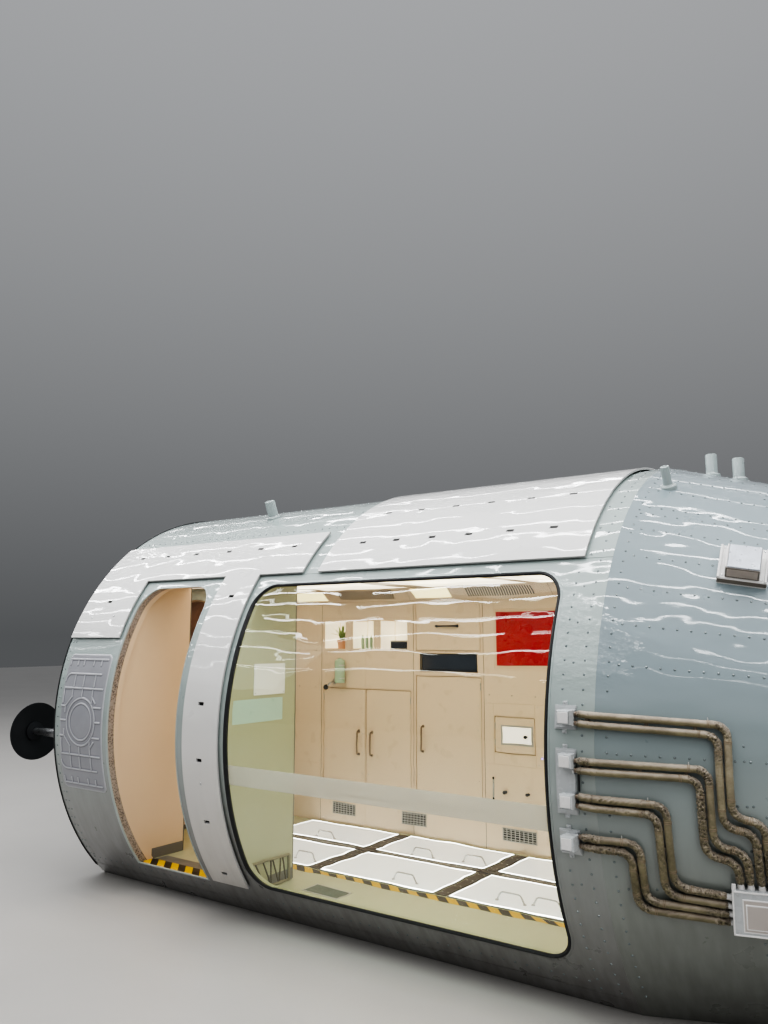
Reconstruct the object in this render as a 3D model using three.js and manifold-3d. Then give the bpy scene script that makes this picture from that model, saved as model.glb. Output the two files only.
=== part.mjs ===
// Walk-in space station module: a barrel cut flat at the bottom, with a doorway, a large curved
// window and raised shield panels, a cone that narrows to a smaller section, and a furnished cabin.
// Millimetres. +X runs along the barrel's axis towards the cone, -Y is the side with the doorway,
// +Z is up. The origin is on the floor, under the middle of the barrel.
import * as THREE from "three";
import { mergeVertices } from "three/addons/utils/BufferGeometryUtils.js";
import Module from "manifold-3d";

const wasm = await Module();
wasm.setup();

// Driving dimensions
const GAP = 0.3; // between solids that rest on each other
const RADIUS = 1600; // barrel, outside
const AXIS_Z = 1144; // height of the barrel's axis above the flat bottom
const BARREL_HALF = 2018; // half the barrel's length
const WALL = 60; // barrel wall, also its bottom plate
const SEGMENTS = 96; // flats round the barrel
const STEP = 360 / SEGMENTS;
const CONE_SLOPE = 0.28; // loss of radius per millimetre of length
const NARROW_RADIUS = 1120; // forward section
const CONE_END = BARREL_HALF + (RADIUS - NARROW_RADIUS) / CONE_SLOPE;
const FORWARD_LENGTH = 1100;
const FORWARD_END = CONE_END + FORWARD_LENGTH;
const SEAM = { high: 37.5, low: 41.25 }; // angles of the side plates' seams, above and below

// Openings in the near side, in the plane of X and Z
const DOOR = { left: -1429, right: -712, bottom: 184, top: 2079, corner: 170, lowCorner: 1 };
const WINDOW = { left: -306, right: 1806, bottom: 219, top: 2072, corner: 165, lowCorner: 165 };
const GASKET_WIDTH = 30;
const LINER_THICKNESS = 8;

// Cabin
const INNER = RADIUS - WALL; // inside radius of the barrel
const DECK_TOP = 184;
const CEILING_BOTTOM = 2128;
const CEILING_THICKNESS = 40;
const RACK_FRONT = 480; // Y of the back wall's front face
const RACK_BACK = 880;
const RACK_TOP = 2024;
const CORNICE_FRONT = 360;
const DOOR_THICKNESS = 18; // locker doors
const DOOR_CLEARANCE = 5;
const FIELD_HEIGHT = 4; // luminous floor fields above the deck plate
const PARTITION = 40;
const HATCHED_STRIP_BACK = -690; // where the floor fields start, behind the edge stripe

const PAINT = { hull: 0xaebcba, cone: 0x8d9ea3, panel: 0xdfe3e2, black: 0x15171a, cream: 0xe9dfcb };

// Colours as three.js materials
const material = (color, roughness = 0.4, metalness = 0) =>
  new THREE.MeshStandardMaterial({ color, roughness, metalness });
const hullPaint = material(PAINT.hull, 0.25);
const conePaint = material(PAINT.cone, 0.25);
const panelPaint = material(PAINT.panel, 0.2);
const blackRubber = material(PAINT.black, 0.7);
const creamPaint = material(PAINT.cream, 0.45);
const steel = material(0xb9bcbd, 0.3, 0.9);
const tanFabric = material(0xa08c6c, 0.85);
const deckGrey = material(0xbfc0ab, 0.6);
const glass = new THREE.MeshStandardMaterial({ color: 0xdfe9df, transparent: true, opacity: 0.3 });

// Solids and meshes
function toSolid(geometry) {
  const bare = geometry.clone();
  for (const name of Object.keys(bare.attributes)) {
    if (name !== "position") bare.deleteAttribute(name);
  }
  const merged = mergeVertices(bare, 1e-4);
  return new wasm.Manifold(
    new wasm.Mesh({
      numProp: 3,
      vertProperties: new Float32Array(merged.attributes.position.array),
      triVerts: new Uint32Array(merged.index.array),
    }),
  );
}

function toGeometry(solid) {
  const mesh = solid.getMesh();
  const geometry = new THREE.BufferGeometry();
  geometry.setAttribute("position", new THREE.BufferAttribute(mesh.vertProperties, 3));
  geometry.setIndex(new THREE.BufferAttribute(mesh.triVerts, 1));
  const flat = geometry.toNonIndexed();
  flat.computeVertexNormals();
  return flat;
}

const moduleGroup = new THREE.Group();
moduleGroup.name = "space_station_module";

function addPart(name, solid, look) {
  const mesh = new THREE.Mesh(toGeometry(solid), look);
  mesh.name = name;
  moduleGroup.add(mesh);
}

const unite = (solids) => solids.reduce((sum, next) => sum.add(next));
const cutAll = (solid, cutters) => cutters.reduce((rest, next) => rest.subtract(next), solid);

// Basic forms
function box([x0, x1], [y0, y1], [z0, z1]) {
  const geometry = new THREE.BoxGeometry(x1 - x0, y1 - y0, z1 - z0);
  geometry.translate((x0 + x1) / 2, (y0 + y1) / 2, (z0 + z1) / 2);
  return toSolid(geometry);
}

// An outline of [y, z] points drawn out along X
function prismAlongX(outline, [x0, x1]) {
  const shape = new THREE.Shape(outline.map(([y, z]) => new THREE.Vector2(y, z)));
  const geometry = new THREE.ExtrudeGeometry(shape, { depth: x1 - x0, bevelEnabled: false });
  const axes = new THREE.Matrix4().makeBasis(
    new THREE.Vector3(0, 1, 0),
    new THREE.Vector3(0, 0, 1),
    new THREE.Vector3(1, 0, 0),
  );
  geometry.applyMatrix4(axes.setPosition(x0, 0, 0));
  return toSolid(geometry);
}

// An outline of [x, z] points drawn out along Y
function prismAlongY(outline, [y0, y1]) {
  const shape = new THREE.Shape(outline.map(([x, z]) => new THREE.Vector2(x, z)));
  const geometry = new THREE.ExtrudeGeometry(shape, { depth: y1 - y0, bevelEnabled: false });
  const axes = new THREE.Matrix4().makeBasis(
    new THREE.Vector3(1, 0, 0),
    new THREE.Vector3(0, 0, 1),
    new THREE.Vector3(0, -1, 0),
  );
  geometry.applyMatrix4(axes.setPosition(0, y1, 0));
  return toSolid(geometry);
}

// A cone frustum, or with equal radii a cylinder, along X on the barrel's axis
function frustum(radiusLeft, radiusRight, [x0, x1], segments = SEGMENTS) {
  const geometry = new THREE.CylinderGeometry(radiusRight, radiusLeft, x1 - x0, segments);
  geometry.rotateZ(-Math.PI / 2);
  geometry.translate((x0 + x1) / 2, 0, AXIS_Z);
  return toSolid(geometry);
}
const disc = (radius, span, segments) => frustum(radius, radius, span, segments);
const flatRing = (outer, inner, [x0, x1]) =>
  disc(outer, [x0, x1]).subtract(disc(inner, [x0 - 1, x1 + 1]));

// A block on a radius of the barrel's axis, its angle counted from straight up
function turnedBlock([x0, x1], [innerR, outerR], halfWidth, angle) {
  const geometry = new THREE.BoxGeometry(x1 - x0, 2 * halfWidth, outerR - innerR);
  geometry.translate((x0 + x1) / 2, 0, (innerR + outerR) / 2);
  geometry.rotateX(THREE.MathUtils.degToRad(angle));
  geometry.translate(0, 0, AXIS_Z);
  return toSolid(geometry);
}

// The same flats on every radius, so that plates lie parallel to what they rest on.
// Angles are in degrees above the horizontal on the near side, and go over the crown.
function onFlats(radius, angle) {
  const inStep = ((angle % STEP) + STEP) % STEP;
  const half = THREE.MathUtils.degToRad(STEP / 2);
  const off = THREE.MathUtils.degToRad(inStep) - half;
  const r = (radius * Math.cos(half)) / Math.cos(off);
  const a = THREE.MathUtils.degToRad(angle);
  return [-r * Math.cos(a), AXIS_Z + r * Math.sin(a)];
}

function arc(radius, from, to) {
  const angles = [from];
  for (let a = (Math.floor(from / STEP) + 1) * STEP; a < to - 1e-6; a += STEP) angles.push(a);
  angles.push(to);
  return angles.map((angle) => onFlats(radius, angle));
}

// Part of a tube wall round the barrel's axis
function sector([outer, inner], [from, to], span) {
  const outline = [...arc(outer, from, to), ...arc(inner, from, to).reverse()];
  return prismAlongX(outline, span);
}

// A frame that stands on the hull at X and an angle: local Z points away from the axis
function standingAt(x, angle, radius, slope = 0) {
  const a = THREE.MathUtils.degToRad(angle);
  const away = new THREE.Vector3(0, -Math.cos(a), Math.sin(a));
  const across = new THREE.Vector3(0, Math.sin(a), Math.cos(a));
  const outward = away.clone().setX(slope).normalize();
  const along = new THREE.Vector3().crossVectors(across, outward);
  const frame = new THREE.Matrix4().makeBasis(along, across, outward);
  const foot = away.multiplyScalar(radius);
  return frame.setPosition(x, foot.y, AXIS_Z + foot.z);
}

// A rectangle in X and Z with round corners, drawn in by inset
function roundedOutline({ left, right, bottom, top, corner, lowCorner }, inset = 0) {
  const high = Math.max(corner - inset, 1);
  const low = Math.max(lowCorner - inset, 1);
  const centres = [
    // X, Z, radius, start angle
    [right - inset - high, top - inset - high, high, 0],
    [left + inset + high, top - inset - high, high, 90],
    [left + inset + low, bottom + inset + low, low, 180],
    [right - inset - low, bottom + inset + low, low, 270],
  ];
  const outline = [];
  for (const [x, z, r, start] of centres) {
    const steps = r > 100 ? 6 : 2;
    for (let i = 0; i <= steps; i += 1) {
      const a = THREE.MathUtils.degToRad(start + (90 * i) / steps);
      outline.push([x + r * Math.cos(a), z + r * Math.sin(a)]);
    }
  }
  return outline;
}

const NEAR = [-RADIUS - 200, -900]; // Y span that takes in the whole near wall
const BARREL_SPAN = [-BARREL_HALF, BARREL_HALF];
const aboveFloor = (height) => box([-6000, 7000], [-3000, 3000], [height, 4000]);

// Barrel: keel with its flat bottom, two side plates and the crown
const keelRing = disc(RADIUS, BARREL_SPAN)
  .intersect(aboveFloor(0))
  .subtract(disc(INNER, [-BARREL_HALF - 1, BARREL_HALF + 1]).intersect(aboveFloor(WALL)));
const [cutY, cutZ] = onFlats(RADIUS * 1.2, -SEAM.low); // just past the wall
const keelOutline = [
  [0, AXIS_Z],
  [cutY, cutZ],
  [-cutY, cutZ],
];
const keelCutter = prismAlongX(keelOutline, [-BARREL_HALF - 1, BARREL_HALF + 1]);
addPart("barrel_keel", keelRing.intersect(keelCutter), hullPaint);

const SEAM_GAP = 0.015; // degrees, a gap of about 0.4 mm between the plates
const sideAngles = [-SEAM.low + SEAM_GAP, SEAM.high - SEAM_GAP];
const sidePlate = sector([RADIUS, INNER], sideAngles, BARREL_SPAN);
const doorCut = prismAlongY(roundedOutline(DOOR), NEAR);
const windowCut = prismAlongY(roundedOutline(WINDOW), NEAR);
addPart("barrel_near_side", cutAll(sidePlate, [doorCut, windowCut]), hullPaint);
const mirrored = ([from, to]) => [180 - to, 180 - from]; // the same angles on the far side
const farPlate = sector([RADIUS, INNER], mirrored(sideAngles), BARREL_SPAN);
addPart("barrel_far_side", farPlate, hullPaint);
const crownAngles = [SEAM.high, 180 - SEAM.high];
addPart("barrel_crown", sector([RADIUS, INNER], crownAngles, BARREL_SPAN), hullPaint);

// Ends of the cabin, and the trim round the left end
const insideBarrel = (span) => disc(INNER - GAP, span).intersect(aboveFloor(WALL + GAP));
const END_FORMS = {
  raised: 9,
  ribs: { inner: 600, outer: 1430, halfWidth: 16, turn: 20, eachSide: 6 },
  innerRing: { outer: 600, inner: 560 },
  outerRing: { outer: 1512, inner: 1488, lowest: 100 },
  accessPanel: 470,
};
const raisedSpan = [-BARREL_HALF - END_FORMS.raised, -BARREL_HALF + 1];
const endRibs = [];
for (let k = -END_FORMS.ribs.eachSide; k <= END_FORMS.ribs.eachSide; k += 1) {
  const { inner, outer, halfWidth, turn } = END_FORMS.ribs;
  endRibs.push(turnedBlock(raisedSpan, [inner - 1, outer], halfWidth, k * turn));
}
const innerRing = flatRing(END_FORMS.innerRing.outer, END_FORMS.innerRing.inner, raisedSpan);
const outerRing = flatRing(END_FORMS.outerRing.outer, END_FORMS.outerRing.inner, raisedSpan);
const aftBulkhead = unite([
  insideBarrel([-BARREL_HALF, -BARREL_HALF + WALL]),
  disc(END_FORMS.accessPanel, raisedSpan, SEGMENTS / 2),
  innerRing,
  outerRing.intersect(aboveFloor(END_FORMS.outerRing.lowest)),
  ...endRibs,
]);
addPart("aft_bulkhead", aftBulkhead, hullPaint);
addPart("forward_bulkhead", insideBarrel([BARREL_HALF - WALL, BARREL_HALF]), creamPaint);
const TRIM = { thickness: 14, outer: RADIUS + 6, inner: INNER - 20 };
const trimSpan = [-BARREL_HALF - GAP - TRIM.thickness, -BARREL_HALF - GAP];
const trimRing = flatRing(TRIM.outer, TRIM.inner, trimSpan).intersect(aboveFloor(WALL));
addPart("aft_trim", trimRing, blackRubber);

// Cone and forward section
const coneRadius = (x) => RADIUS - CONE_SLOPE * Math.max(0, x - BARREL_HALF);
const coneBody = (offset) =>
  frustum(RADIUS + offset, NARROW_RADIUS + offset, [BARREL_HALF + GAP, CONE_END]);
addPart("cone_section", coneBody(0).intersect(aboveFloor(0)), conePaint);
addPart("forward_section", disc(NARROW_RADIUS, [CONE_END + GAP, FORWARD_END]), conePaint);
const CRADLE = { from: CONE_END + 250, to: FORWARD_END - 250, halfWidth: 720, height: 330 };
const CRADLE_RIB = { places: [300, 480, 640], reach: 34, halfThickness: 9, below: 12 };
const CRADLE_FOOT = { reach: 46, halfWidth: 700, height: 14 };
const saddle = box(
  [CRADLE.from, CRADLE.to],
  [-CRADLE.halfWidth, CRADLE.halfWidth],
  [0, CRADLE.height],
).subtract(disc(NARROW_RADIUS + GAP, [CRADLE.from - 1, CRADLE.to + 1]));
const cradleRibs = CRADLE_RIB.places.flatMap((place) =>
  [-place, place].map((y) => {
    const top = AXIS_Z - Math.sqrt(NARROW_RADIUS ** 2 - y * y) - CRADLE_RIB.below;
    return box(
      [CRADLE.from - CRADLE_RIB.reach, CRADLE.to + CRADLE_RIB.reach],
      [y - CRADLE_RIB.halfThickness, y + CRADLE_RIB.halfThickness],
      [0, top],
    );
  }),
);
const cradleFoot = box(
  [CRADLE.from - CRADLE_FOOT.reach, CRADLE.to + CRADLE_FOOT.reach],
  [-CRADLE_FOOT.halfWidth, CRADLE_FOOT.halfWidth],
  [0, CRADLE_FOOT.height],
);
addPart("forward_cradle", unite([saddle, cradleFoot, ...cradleRibs]), hullPaint);

// Docking collar with a closed cover set into it
const COLLAR = { outer: 640, inner: 520, length: 190, lip: 690, lipLength: 40 };
const collarStart = FORWARD_END + GAP;
const ring = (radius, span) => disc(radius, span, SEGMENTS / 2);
const collarBody = ring(COLLAR.outer, [collarStart, collarStart + COLLAR.length]);
const collarLip = ring(COLLAR.lip, [collarStart, collarStart + COLLAR.lipLength]);
const collarBore = ring(COLLAR.inner, [collarStart - 1, collarStart + COLLAR.length + 1]);
const LATCH = { inner: 636, outer: 674, halfWidth: 26, span: [62, 104], count: 12 };
const latchSpan = LATCH.span.map((along) => collarStart + along);
const latches = [];
for (let k = 0; k < LATCH.count; k += 1) {
  const angle = ((k + 0.5) * 360) / LATCH.count;
  latches.push(turnedBlock(latchSpan, [LATCH.inner, LATCH.outer], LATCH.halfWidth, angle));
}
const collar = unite([collarBody, collarLip, ...latches]).subtract(collarBore);
addPart("docking_collar", collar, steel);
const COVER = { depth: 90, boss: 180, bossHeight: 40 };
const coverEnd = collarStart + COVER.depth;
const coverBoss = disc(COVER.boss, [coverEnd - 1, coverEnd + COVER.bossHeight], 24);
const COVER_RIB = { inner: 170, outer: 388, halfWidth: 11, raised: 6, count: 8 };
const coverRibs = [];
for (let k = 0; k < COVER_RIB.count; k += 1) {
  const angle = (k * 360) / COVER_RIB.count;
  const span = [coverEnd - 1, coverEnd + COVER_RIB.raised];
  coverRibs.push(turnedBlock(span, [COVER_RIB.inner, COVER_RIB.outer], COVER_RIB.halfWidth, angle));
}
const coverDisc = ring(COLLAR.inner - 2 * GAP, [collarStart, coverEnd]);
addPart("docking_cover", unite([coverDisc, coverBoss, ...coverRibs]), panelPaint);

// Raised shield panels: a sheet with a set-back pad behind it, so that its edges stand clear
const SHIELD = { top: 22, under: 15, padInset: 30 };
function shieldPart([from, to], [x0, x1], inset = { left: 1, right: 1, low: 1, high: 1 }) {
  const padX = [x0 + SHIELD.padInset * inset.left, x1 - SHIELD.padInset * inset.right];
  const turn = THREE.MathUtils.radToDeg(SHIELD.padInset / RADIUS);
  const padAngles = [from + turn * inset.low, to - turn * inset.high];
  const sheet = sector([RADIUS + SHIELD.top, RADIUS + SHIELD.under], [from, to], [x0, x1]);
  const pad = sector([RADIUS + SHIELD.under + 1, RADIUS + GAP], padAngles, padX);
  return sheet.add(pad);
}

// Slots in the sheets, at places of [X, angle]
const SLOT = { length: 38, width: 17, floor: 12 };
function slotCutters(places) {
  return places.map(([x, angle]) => {
    const depth = SHIELD.top - SLOT.floor + 5;
    const geometry = new THREE.BoxGeometry(SLOT.length, SLOT.width, depth);
    geometry.translate(0, 0, SLOT.floor + depth / 2);
    return toSolid(geometry.applyMatrix4(standingAt(x, angle, RADIUS)));
  });
}
const farPlaces = (places) => places.map(([x, angle]) => [x, 180 - angle]);
const stripSlots = [31.5, 6.4, -5.5, -19, -32].map((angle) => [-486, angle]);
const bandSlots = [-1730, -1440, -1130, -795, -490, -185].map((x) => [x, 46.5]);
bandSlots.push([-1741, 31.2]);
const overheadSlotX = [
  // angle, X of the slots in that row
  [45.8, [390, 640, 893, 1137, 1397, 1654]],
  [58.4, [390, 640, 893, 1137, 1397, 1654]],
  [74.5, [319, 579, 830, 1127, 1381, 1630]],
];
const overheadSide = overheadSlotX.flatMap(([angle, row]) => row.map((x) => [x, angle]));
const crownSlots = overheadSlotX[2][1].map((x) => [x, 90]);
const overheadSlots = [...overheadSide, ...farPlaces(overheadSide), ...crownSlots];

const DOOR_SHIELD = {
  band: { angles: [37.5, 51.4], x: [-2008, 35] },
  leg: { angles: [21, 45], x: [-2008, -1450] },
  strip: { angles: [-35.3, 45], x: [-640, -330] },
};
const doorShield = unite([
  shieldPart(DOOR_SHIELD.band.angles, DOOR_SHIELD.band.x),
  shieldPart(DOOR_SHIELD.leg.angles, DOOR_SHIELD.leg.x),
  shieldPart(DOOR_SHIELD.strip.angles, DOOR_SHIELD.strip.x),
]);
const doorSlots = slotCutters([...stripSlots, ...bandSlots]);
addPart("shield_panel_door", cutAll(doorShield, doorSlots), panelPaint);
const OVERHEAD = { angles: [37.4, 142.6], x: [160, 1881] };
const overheadShield = shieldPart(OVERHEAD.angles, OVERHEAD.x);
addPart("shield_panel_window", cutAll(overheadShield, slotCutters(overheadSlots)), panelPaint);
const farShield = unite([
  shieldPart(mirrored(DOOR_SHIELD.band.angles), DOOR_SHIELD.band.x),
  shieldPart(mirrored(DOOR_SHIELD.leg.angles), DOOR_SHIELD.leg.x),
]);
const farSlots = slotCutters(farPlaces(bandSlots));
addPart("shield_panel_far", cutAll(farShield, farSlots), panelPaint);

// Embossed plates at the left end: bars, two rings and a disc on a thinner plate
const RELIEF = { left: -1955, right: -1467, height: 930, corner: 45, plate: 6, raised: 10, bar: 12 };
const reliefMiddle = (RELIEF.left + RELIEF.right) / 2;
const reliefOutline = roundedOutline({
  left: RELIEF.left,
  right: RELIEF.right,
  bottom: AXIS_Z - RELIEF.height / 2,
  top: AXIS_Z + RELIEF.height / 2,
  corner: RELIEF.corner,
  lowCorner: RELIEF.corner,
});
const uprightBars = (places, top, bottom) => places.map((u) => [u, top, u, bottom]);
const reliefBars = [
  // bars of the upper half from the plate's middle: across, up, to across, up
  [-213, 425, 206, 425],
  ...uprightBars([-213, -128, -57, 57, 142], 425, 386),
  [-170, 325, 168, 325],
  ...uprightBars([-119, -14, 112], 325, 240),
  [-221, 226, 213, 226],
  ...uprightBars([-221, 108], 226, 125),
  ...uprightBars([-123, -11], 226, 172),
  [-238, 101, -186, 101],
  [140, 101, 213, 101],
  [-120, 168, -186, 101],
];
const reliefRings = [
  // outer radius, inner radius
  [165, 155],
  [129, 119],
  [105, 0],
];

// A straight bar of the pattern as an outline in X and Z
function barOutline([u0, v0, u1, v1]) {
  const along = new THREE.Vector2(u1 - u0, v1 - v0).setLength(RELIEF.bar / 2);
  const across = new THREE.Vector2(-along.y, along.x);
  const corners = [
    [u0 - along.x + across.x, v0 - along.y + across.y],
    [u0 - along.x - across.x, v0 - along.y - across.y],
    [u1 + along.x - across.x, v1 + along.y - across.y],
    [u1 + along.x + across.x, v1 + along.y + across.y],
  ];
  return corners.map(([u, v]) => [reliefMiddle + u, AXIS_Z + v]);
}

function roundOutline(radius, sides = 24) {
  const turns = Array.from({ length: sides }, (_, k) => (k * 2 * Math.PI) / sides);
  return turns.map((a) => [reliefMiddle + radius * Math.cos(a), AXIS_Z + radius * Math.sin(a)]);
}

function reliefPattern(ySpan) {
  const bars = reliefBars.flatMap(([u0, v0, u1, v1]) => [
    prismAlongY(barOutline([u0, v0, u1, v1]), ySpan),
    prismAlongY(barOutline([u0, -v0, u1, -v1]), ySpan),
  ]);
  const rings = reliefRings.map(([outer, inner]) => {
    const round = prismAlongY(roundOutline(outer), ySpan);
    return inner ? round.subtract(prismAlongY(roundOutline(inner), ySpan)) : round;
  });
  return unite([...bars, ...rings]);
}

const FAR = [900, RADIUS + 200];
for (const [name, angles, ySpan] of [
  ["relief_plate_near", [-18.75, 18.75], NEAR],
  ["relief_plate_far", [161.25, 198.75], FAR],
]) {
  const reliefSpan = [RELIEF.left - 1, RELIEF.right + 1];
  const layer = (raised) => sector([RADIUS + raised, RADIUS + GAP], angles, reliefSpan);
  const plate = layer(RELIEF.plate).intersect(prismAlongY(reliefOutline, ySpan));
  const pattern = layer(RELIEF.raised).intersect(reliefPattern(ySpan));
  addPart(name, plate.add(pattern), panelPaint);
}

// Door liner, window gasket and curved pane
const openRing = (outline, outerInset, innerInset, radii, span) => {
  const wall = sector(radii, sideAngles, span);
  const within = prismAlongY(roundedOutline(outline, outerInset), NEAR);
  const hole = prismAlongY(roundedOutline(outline, innerInset), NEAR);
  return wall.intersect(within).subtract(hole);
};
const doorSpan = [DOOR.left - 1, DOOR.right + 1];
const windowSpan = [WINDOW.left - 1, WINDOW.right + 1];
const linerDepth = [RADIUS - 1, INNER - 40];
addPart(
  "door_liner",
  openRing(DOOR, GAP, LINER_THICKNESS, linerDepth, doorSpan).intersect(aboveFloor(DECK_TOP + GAP)),
  steel,
);
const gasketDepth = [RADIUS + 6, INNER + 10];
addPart(
  "window_gasket",
  openRing(WINDOW, GAP, GASKET_WIDTH, gasketDepth, windowSpan),
  blackRubber,
);
const PANE = { outer: RADIUS - 8, inner: RADIUS - 20 };
const pane = sector([PANE.outer, PANE.inner], sideAngles, windowSpan).intersect(
  prismAlongY(roundedOutline(WINDOW, GASKET_WIDTH + GAP), NEAR),
);
addPart("window_glass", pane, glass);

// Hose connection boxes: a plate on the hull with one or two square caps
const CAP = { size: 62, reach: 70, plateRaised: 14 };
const boxFace = 1935; // right faces of the boxes, where the hoses start
const connectionBoxes = [
  // name, X span, Z span, cap heights
  ["connection_box_upper", [1833, boxFace], [1322, 1427], [1380]],
  ["connection_box_middle", [1838, boxFace], [958, 1240], [1021, 1192]],
  ["connection_box_lower", [1838, boxFace], [785, 892], [846]],
];
for (const [name, xSpan, zSpan, capHeights] of connectionBoxes) {
  const [z0, z1] = zSpan;
  const plate = box(xSpan, NEAR, [z0, z1]).intersect(disc(RADIUS + CAP.plateRaised, xSpan));
  const caps = capHeights.map((z) =>
    box(
      [xSpan[1] - CAP.size, xSpan[1]],
      [-RADIUS - CAP.reach, NEAR[1]],
      [z - CAP.size / 2, z + CAP.size / 2],
    ),
  );
  const whole = unite([plate, ...caps]);
  addPart(name, whole.subtract(disc(RADIUS + GAP, [xSpan[0] - 1, xSpan[1] + 1])), panelPaint);
}

// Junction box on the cone, where the hoses end: it follows the cone's slope and leans down a little
const JUNCTION = {
  corner: [2523, -1450, 710], // top of its left front edge
  length: 290,
  height: 178,
  depth: 260,
  lean: 5,
};
const clearOfCone = (solid) => solid.subtract(coneBody(GAP));

function junctionFrame() {
  const along = new THREE.Vector3(1, CONE_SLOPE, 0).normalize();
  const level = new THREE.Vector3(CONE_SLOPE, -1, 0).normalize();
  const lean = THREE.MathUtils.degToRad(JUNCTION.lean);
  const outward = level.multiplyScalar(Math.cos(lean)).setZ(-Math.sin(lean));
  const up = new THREE.Vector3().crossVectors(outward, along);
  return new THREE.Matrix4().makeBasis(along, up, outward).setPosition(...JUNCTION.corner);
}

function junctionSolid(grown) {
  const { length, height, depth } = JUNCTION;
  const geometry = new THREE.BoxGeometry(length + 2 * grown, height + 2 * grown, depth + 2 * grown);
  geometry.translate(length / 2, -height / 2, -depth / 2);
  return toSolid(geometry.applyMatrix4(junctionFrame()));
}
addPart("junction_box", clearOfCone(junctionSolid(0)), panelPaint);

// Hoses, routed along the hull: points of X and height, the distance from the axis follows the hull
const HOSE = { radius: 16.5, standOff: 24, bend: 45, sides: 8, steps: 30 };
const hoseStart = boxFace - 10; // cut back to the box faces below
const hoseRoutes = [
  // pair, upper hose, lower hose, clamp places as [X, Z, X size, Z size]
  {
    upper: [[hoseStart, 1394], [2547, 1367], [2547, 1000], [2664, 985], [2664, 680]],
    lower: [[hoseStart, 1354], [2511, 1326], [2511, 958], [2628, 942], [2628, 680]],
    clamps: [[1990, 1372, 20, 64], [2230, 1359, 20, 64], [2420, 1351, 20, 64], [2529, 1150, 60, 20]],
  },
  {
    upper: [[hoseStart, 1194], [2471, 1186], [2471, 878], [2588, 862], [2588, 680]],
    lower: [[hoseStart, 1154], [2435, 1146], [2435, 838], [2552, 822], [2552, 680]],
    clamps: [[1990, 1172, 20, 64], [2200, 1169, 20, 64], [2380, 1167, 20, 64], [2453, 1000, 60, 20]],
  },
  {
    upper: [[hoseStart, 1042], [2302, 1030], [2302, 694], [2560, 672]],
    lower: [[hoseStart, 1002], [2266, 990], [2266, 654], [2560, 634]],
    clamps: [[1990, 1020, 20, 64], [2180, 1014, 20, 64], [2284, 850, 60, 20], [2430, 663, 20, 60]],
  },
  {
    upper: [[hoseStart, 869], [2185, 864], [2185, 618], [2560, 598]],
    lower: [[hoseStart, 829], [2149, 824], [2149, 582], [2560, 562]],
    clamps: [[1990, 848, 20, 64], [2090, 846, 20, 64], [2167, 730, 60, 20], [2400, 588, 20, 60]],
  },
];

function onHull(x, z, standOff) {
  const r = coneRadius(x) + standOff;
  const y = -Math.sqrt(r * r - (z - AXIS_Z) ** 2);
  return new THREE.Vector3(x, y, z);
}

// A polyline of [X, Z] with its corners rounded, as points on the hull
function hosePath(corners, standOff) {
  const flat = new THREE.CurvePath();
  const points = corners.map(([x, z]) => new THREE.Vector2(x, z));
  let from = points[0];
  for (let i = 1; i < points.length - 1; i += 1) {
    const corner = points[i];
    const back = points[i - 1].clone().sub(corner).setLength(HOSE.bend);
    const ahead = points[i + 1].clone().sub(corner).setLength(HOSE.bend);
    const bendStart = corner.clone().add(back);
    const bendEnd = corner.clone().add(ahead);
    flat.add(new THREE.LineCurve(from, bendStart));
    flat.add(new THREE.QuadraticBezierCurve(bendStart, corner, bendEnd));
    from = bendEnd;
  }
  flat.add(new THREE.LineCurve(from, points[points.length - 1]));
  const onSurface = flat
    .getSpacedPoints(HOSE.steps)
    .map(({ x, y }) => onHull(x, y, standOff));
  return new THREE.CatmullRomCurve3(onSurface, false, "centripetal");
}

function tube(path) {
  const section = new THREE.Shape();
  section.absarc(0, 0, HOSE.radius, 0, 2 * Math.PI);
  const outline = new THREE.Shape(section.getSpacedPoints(HOSE.sides).slice(0, HOSE.sides));
  const geometry = new THREE.ExtrudeGeometry(outline, {
    steps: HOSE.steps,
    extrudePath: path,
    bevelEnabled: false,
  });
  return toSolid(geometry);
}

hoseRoutes.forEach(({ upper, lower, clamps }, index) => {
  const hoses = [upper, lower].map((corners) => tube(hosePath(corners, HOSE.standOff)));
  const blocks = clamps.map(([x, z, xSize, zSize]) => {
    const outerY = onHull(x, z, HOSE.standOff).y;
    return box(
      [x - xSize / 2, x + xSize / 2],
      [outerY, NEAR[1]],
      [z - zSize / 2, z + zSize / 2],
    );
  });
  const keepOut = [
    disc(RADIUS + GAP, [BARREL_HALF - 400, BARREL_HALF + GAP]),
    box([0, boxFace + GAP], NEAR, [0, CEILING_BOTTOM]),
    junctionSolid(GAP),
  ];
  const held = unite([...hoses, ...blocks]);
  addPart(`hose_pair_${index + 1}`, clearOfCone(cutAll(held, keepOut)), tanFabric);
});

// Box on the upper side of the cone: a plate that lies on its slope, with a raised block
const EQUIPMENT = { x: 2577, angle: 38.5, length: 208, width: 206, plate: 36, sunk: 60 };
const BLOCK = { length: 148, from: -94, to: 53, height: 106 };
const equipmentFrame = standingAt(
  EQUIPMENT.x,
  EQUIPMENT.angle,
  coneRadius(EQUIPMENT.x),
  CONE_SLOPE,
);
const equipmentForms = [
  // length, Y from and to, Z from and to
  [EQUIPMENT.length, -EQUIPMENT.width / 2, EQUIPMENT.width / 2, -EQUIPMENT.sunk, EQUIPMENT.plate],
  [BLOCK.length, BLOCK.from, BLOCK.to, 0, BLOCK.height],
].map(([length, y0, y1, z0, z1]) => {
  const geometry = new THREE.BoxGeometry(length, y1 - y0, z1 - z0);
  geometry.translate(0, (y0 + y1) / 2, (z0 + z1) / 2);
  return toSolid(geometry.applyMatrix4(equipmentFrame));
});
addPart("equipment_box", clearOfCone(unite(equipmentForms)), panelPaint);

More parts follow.
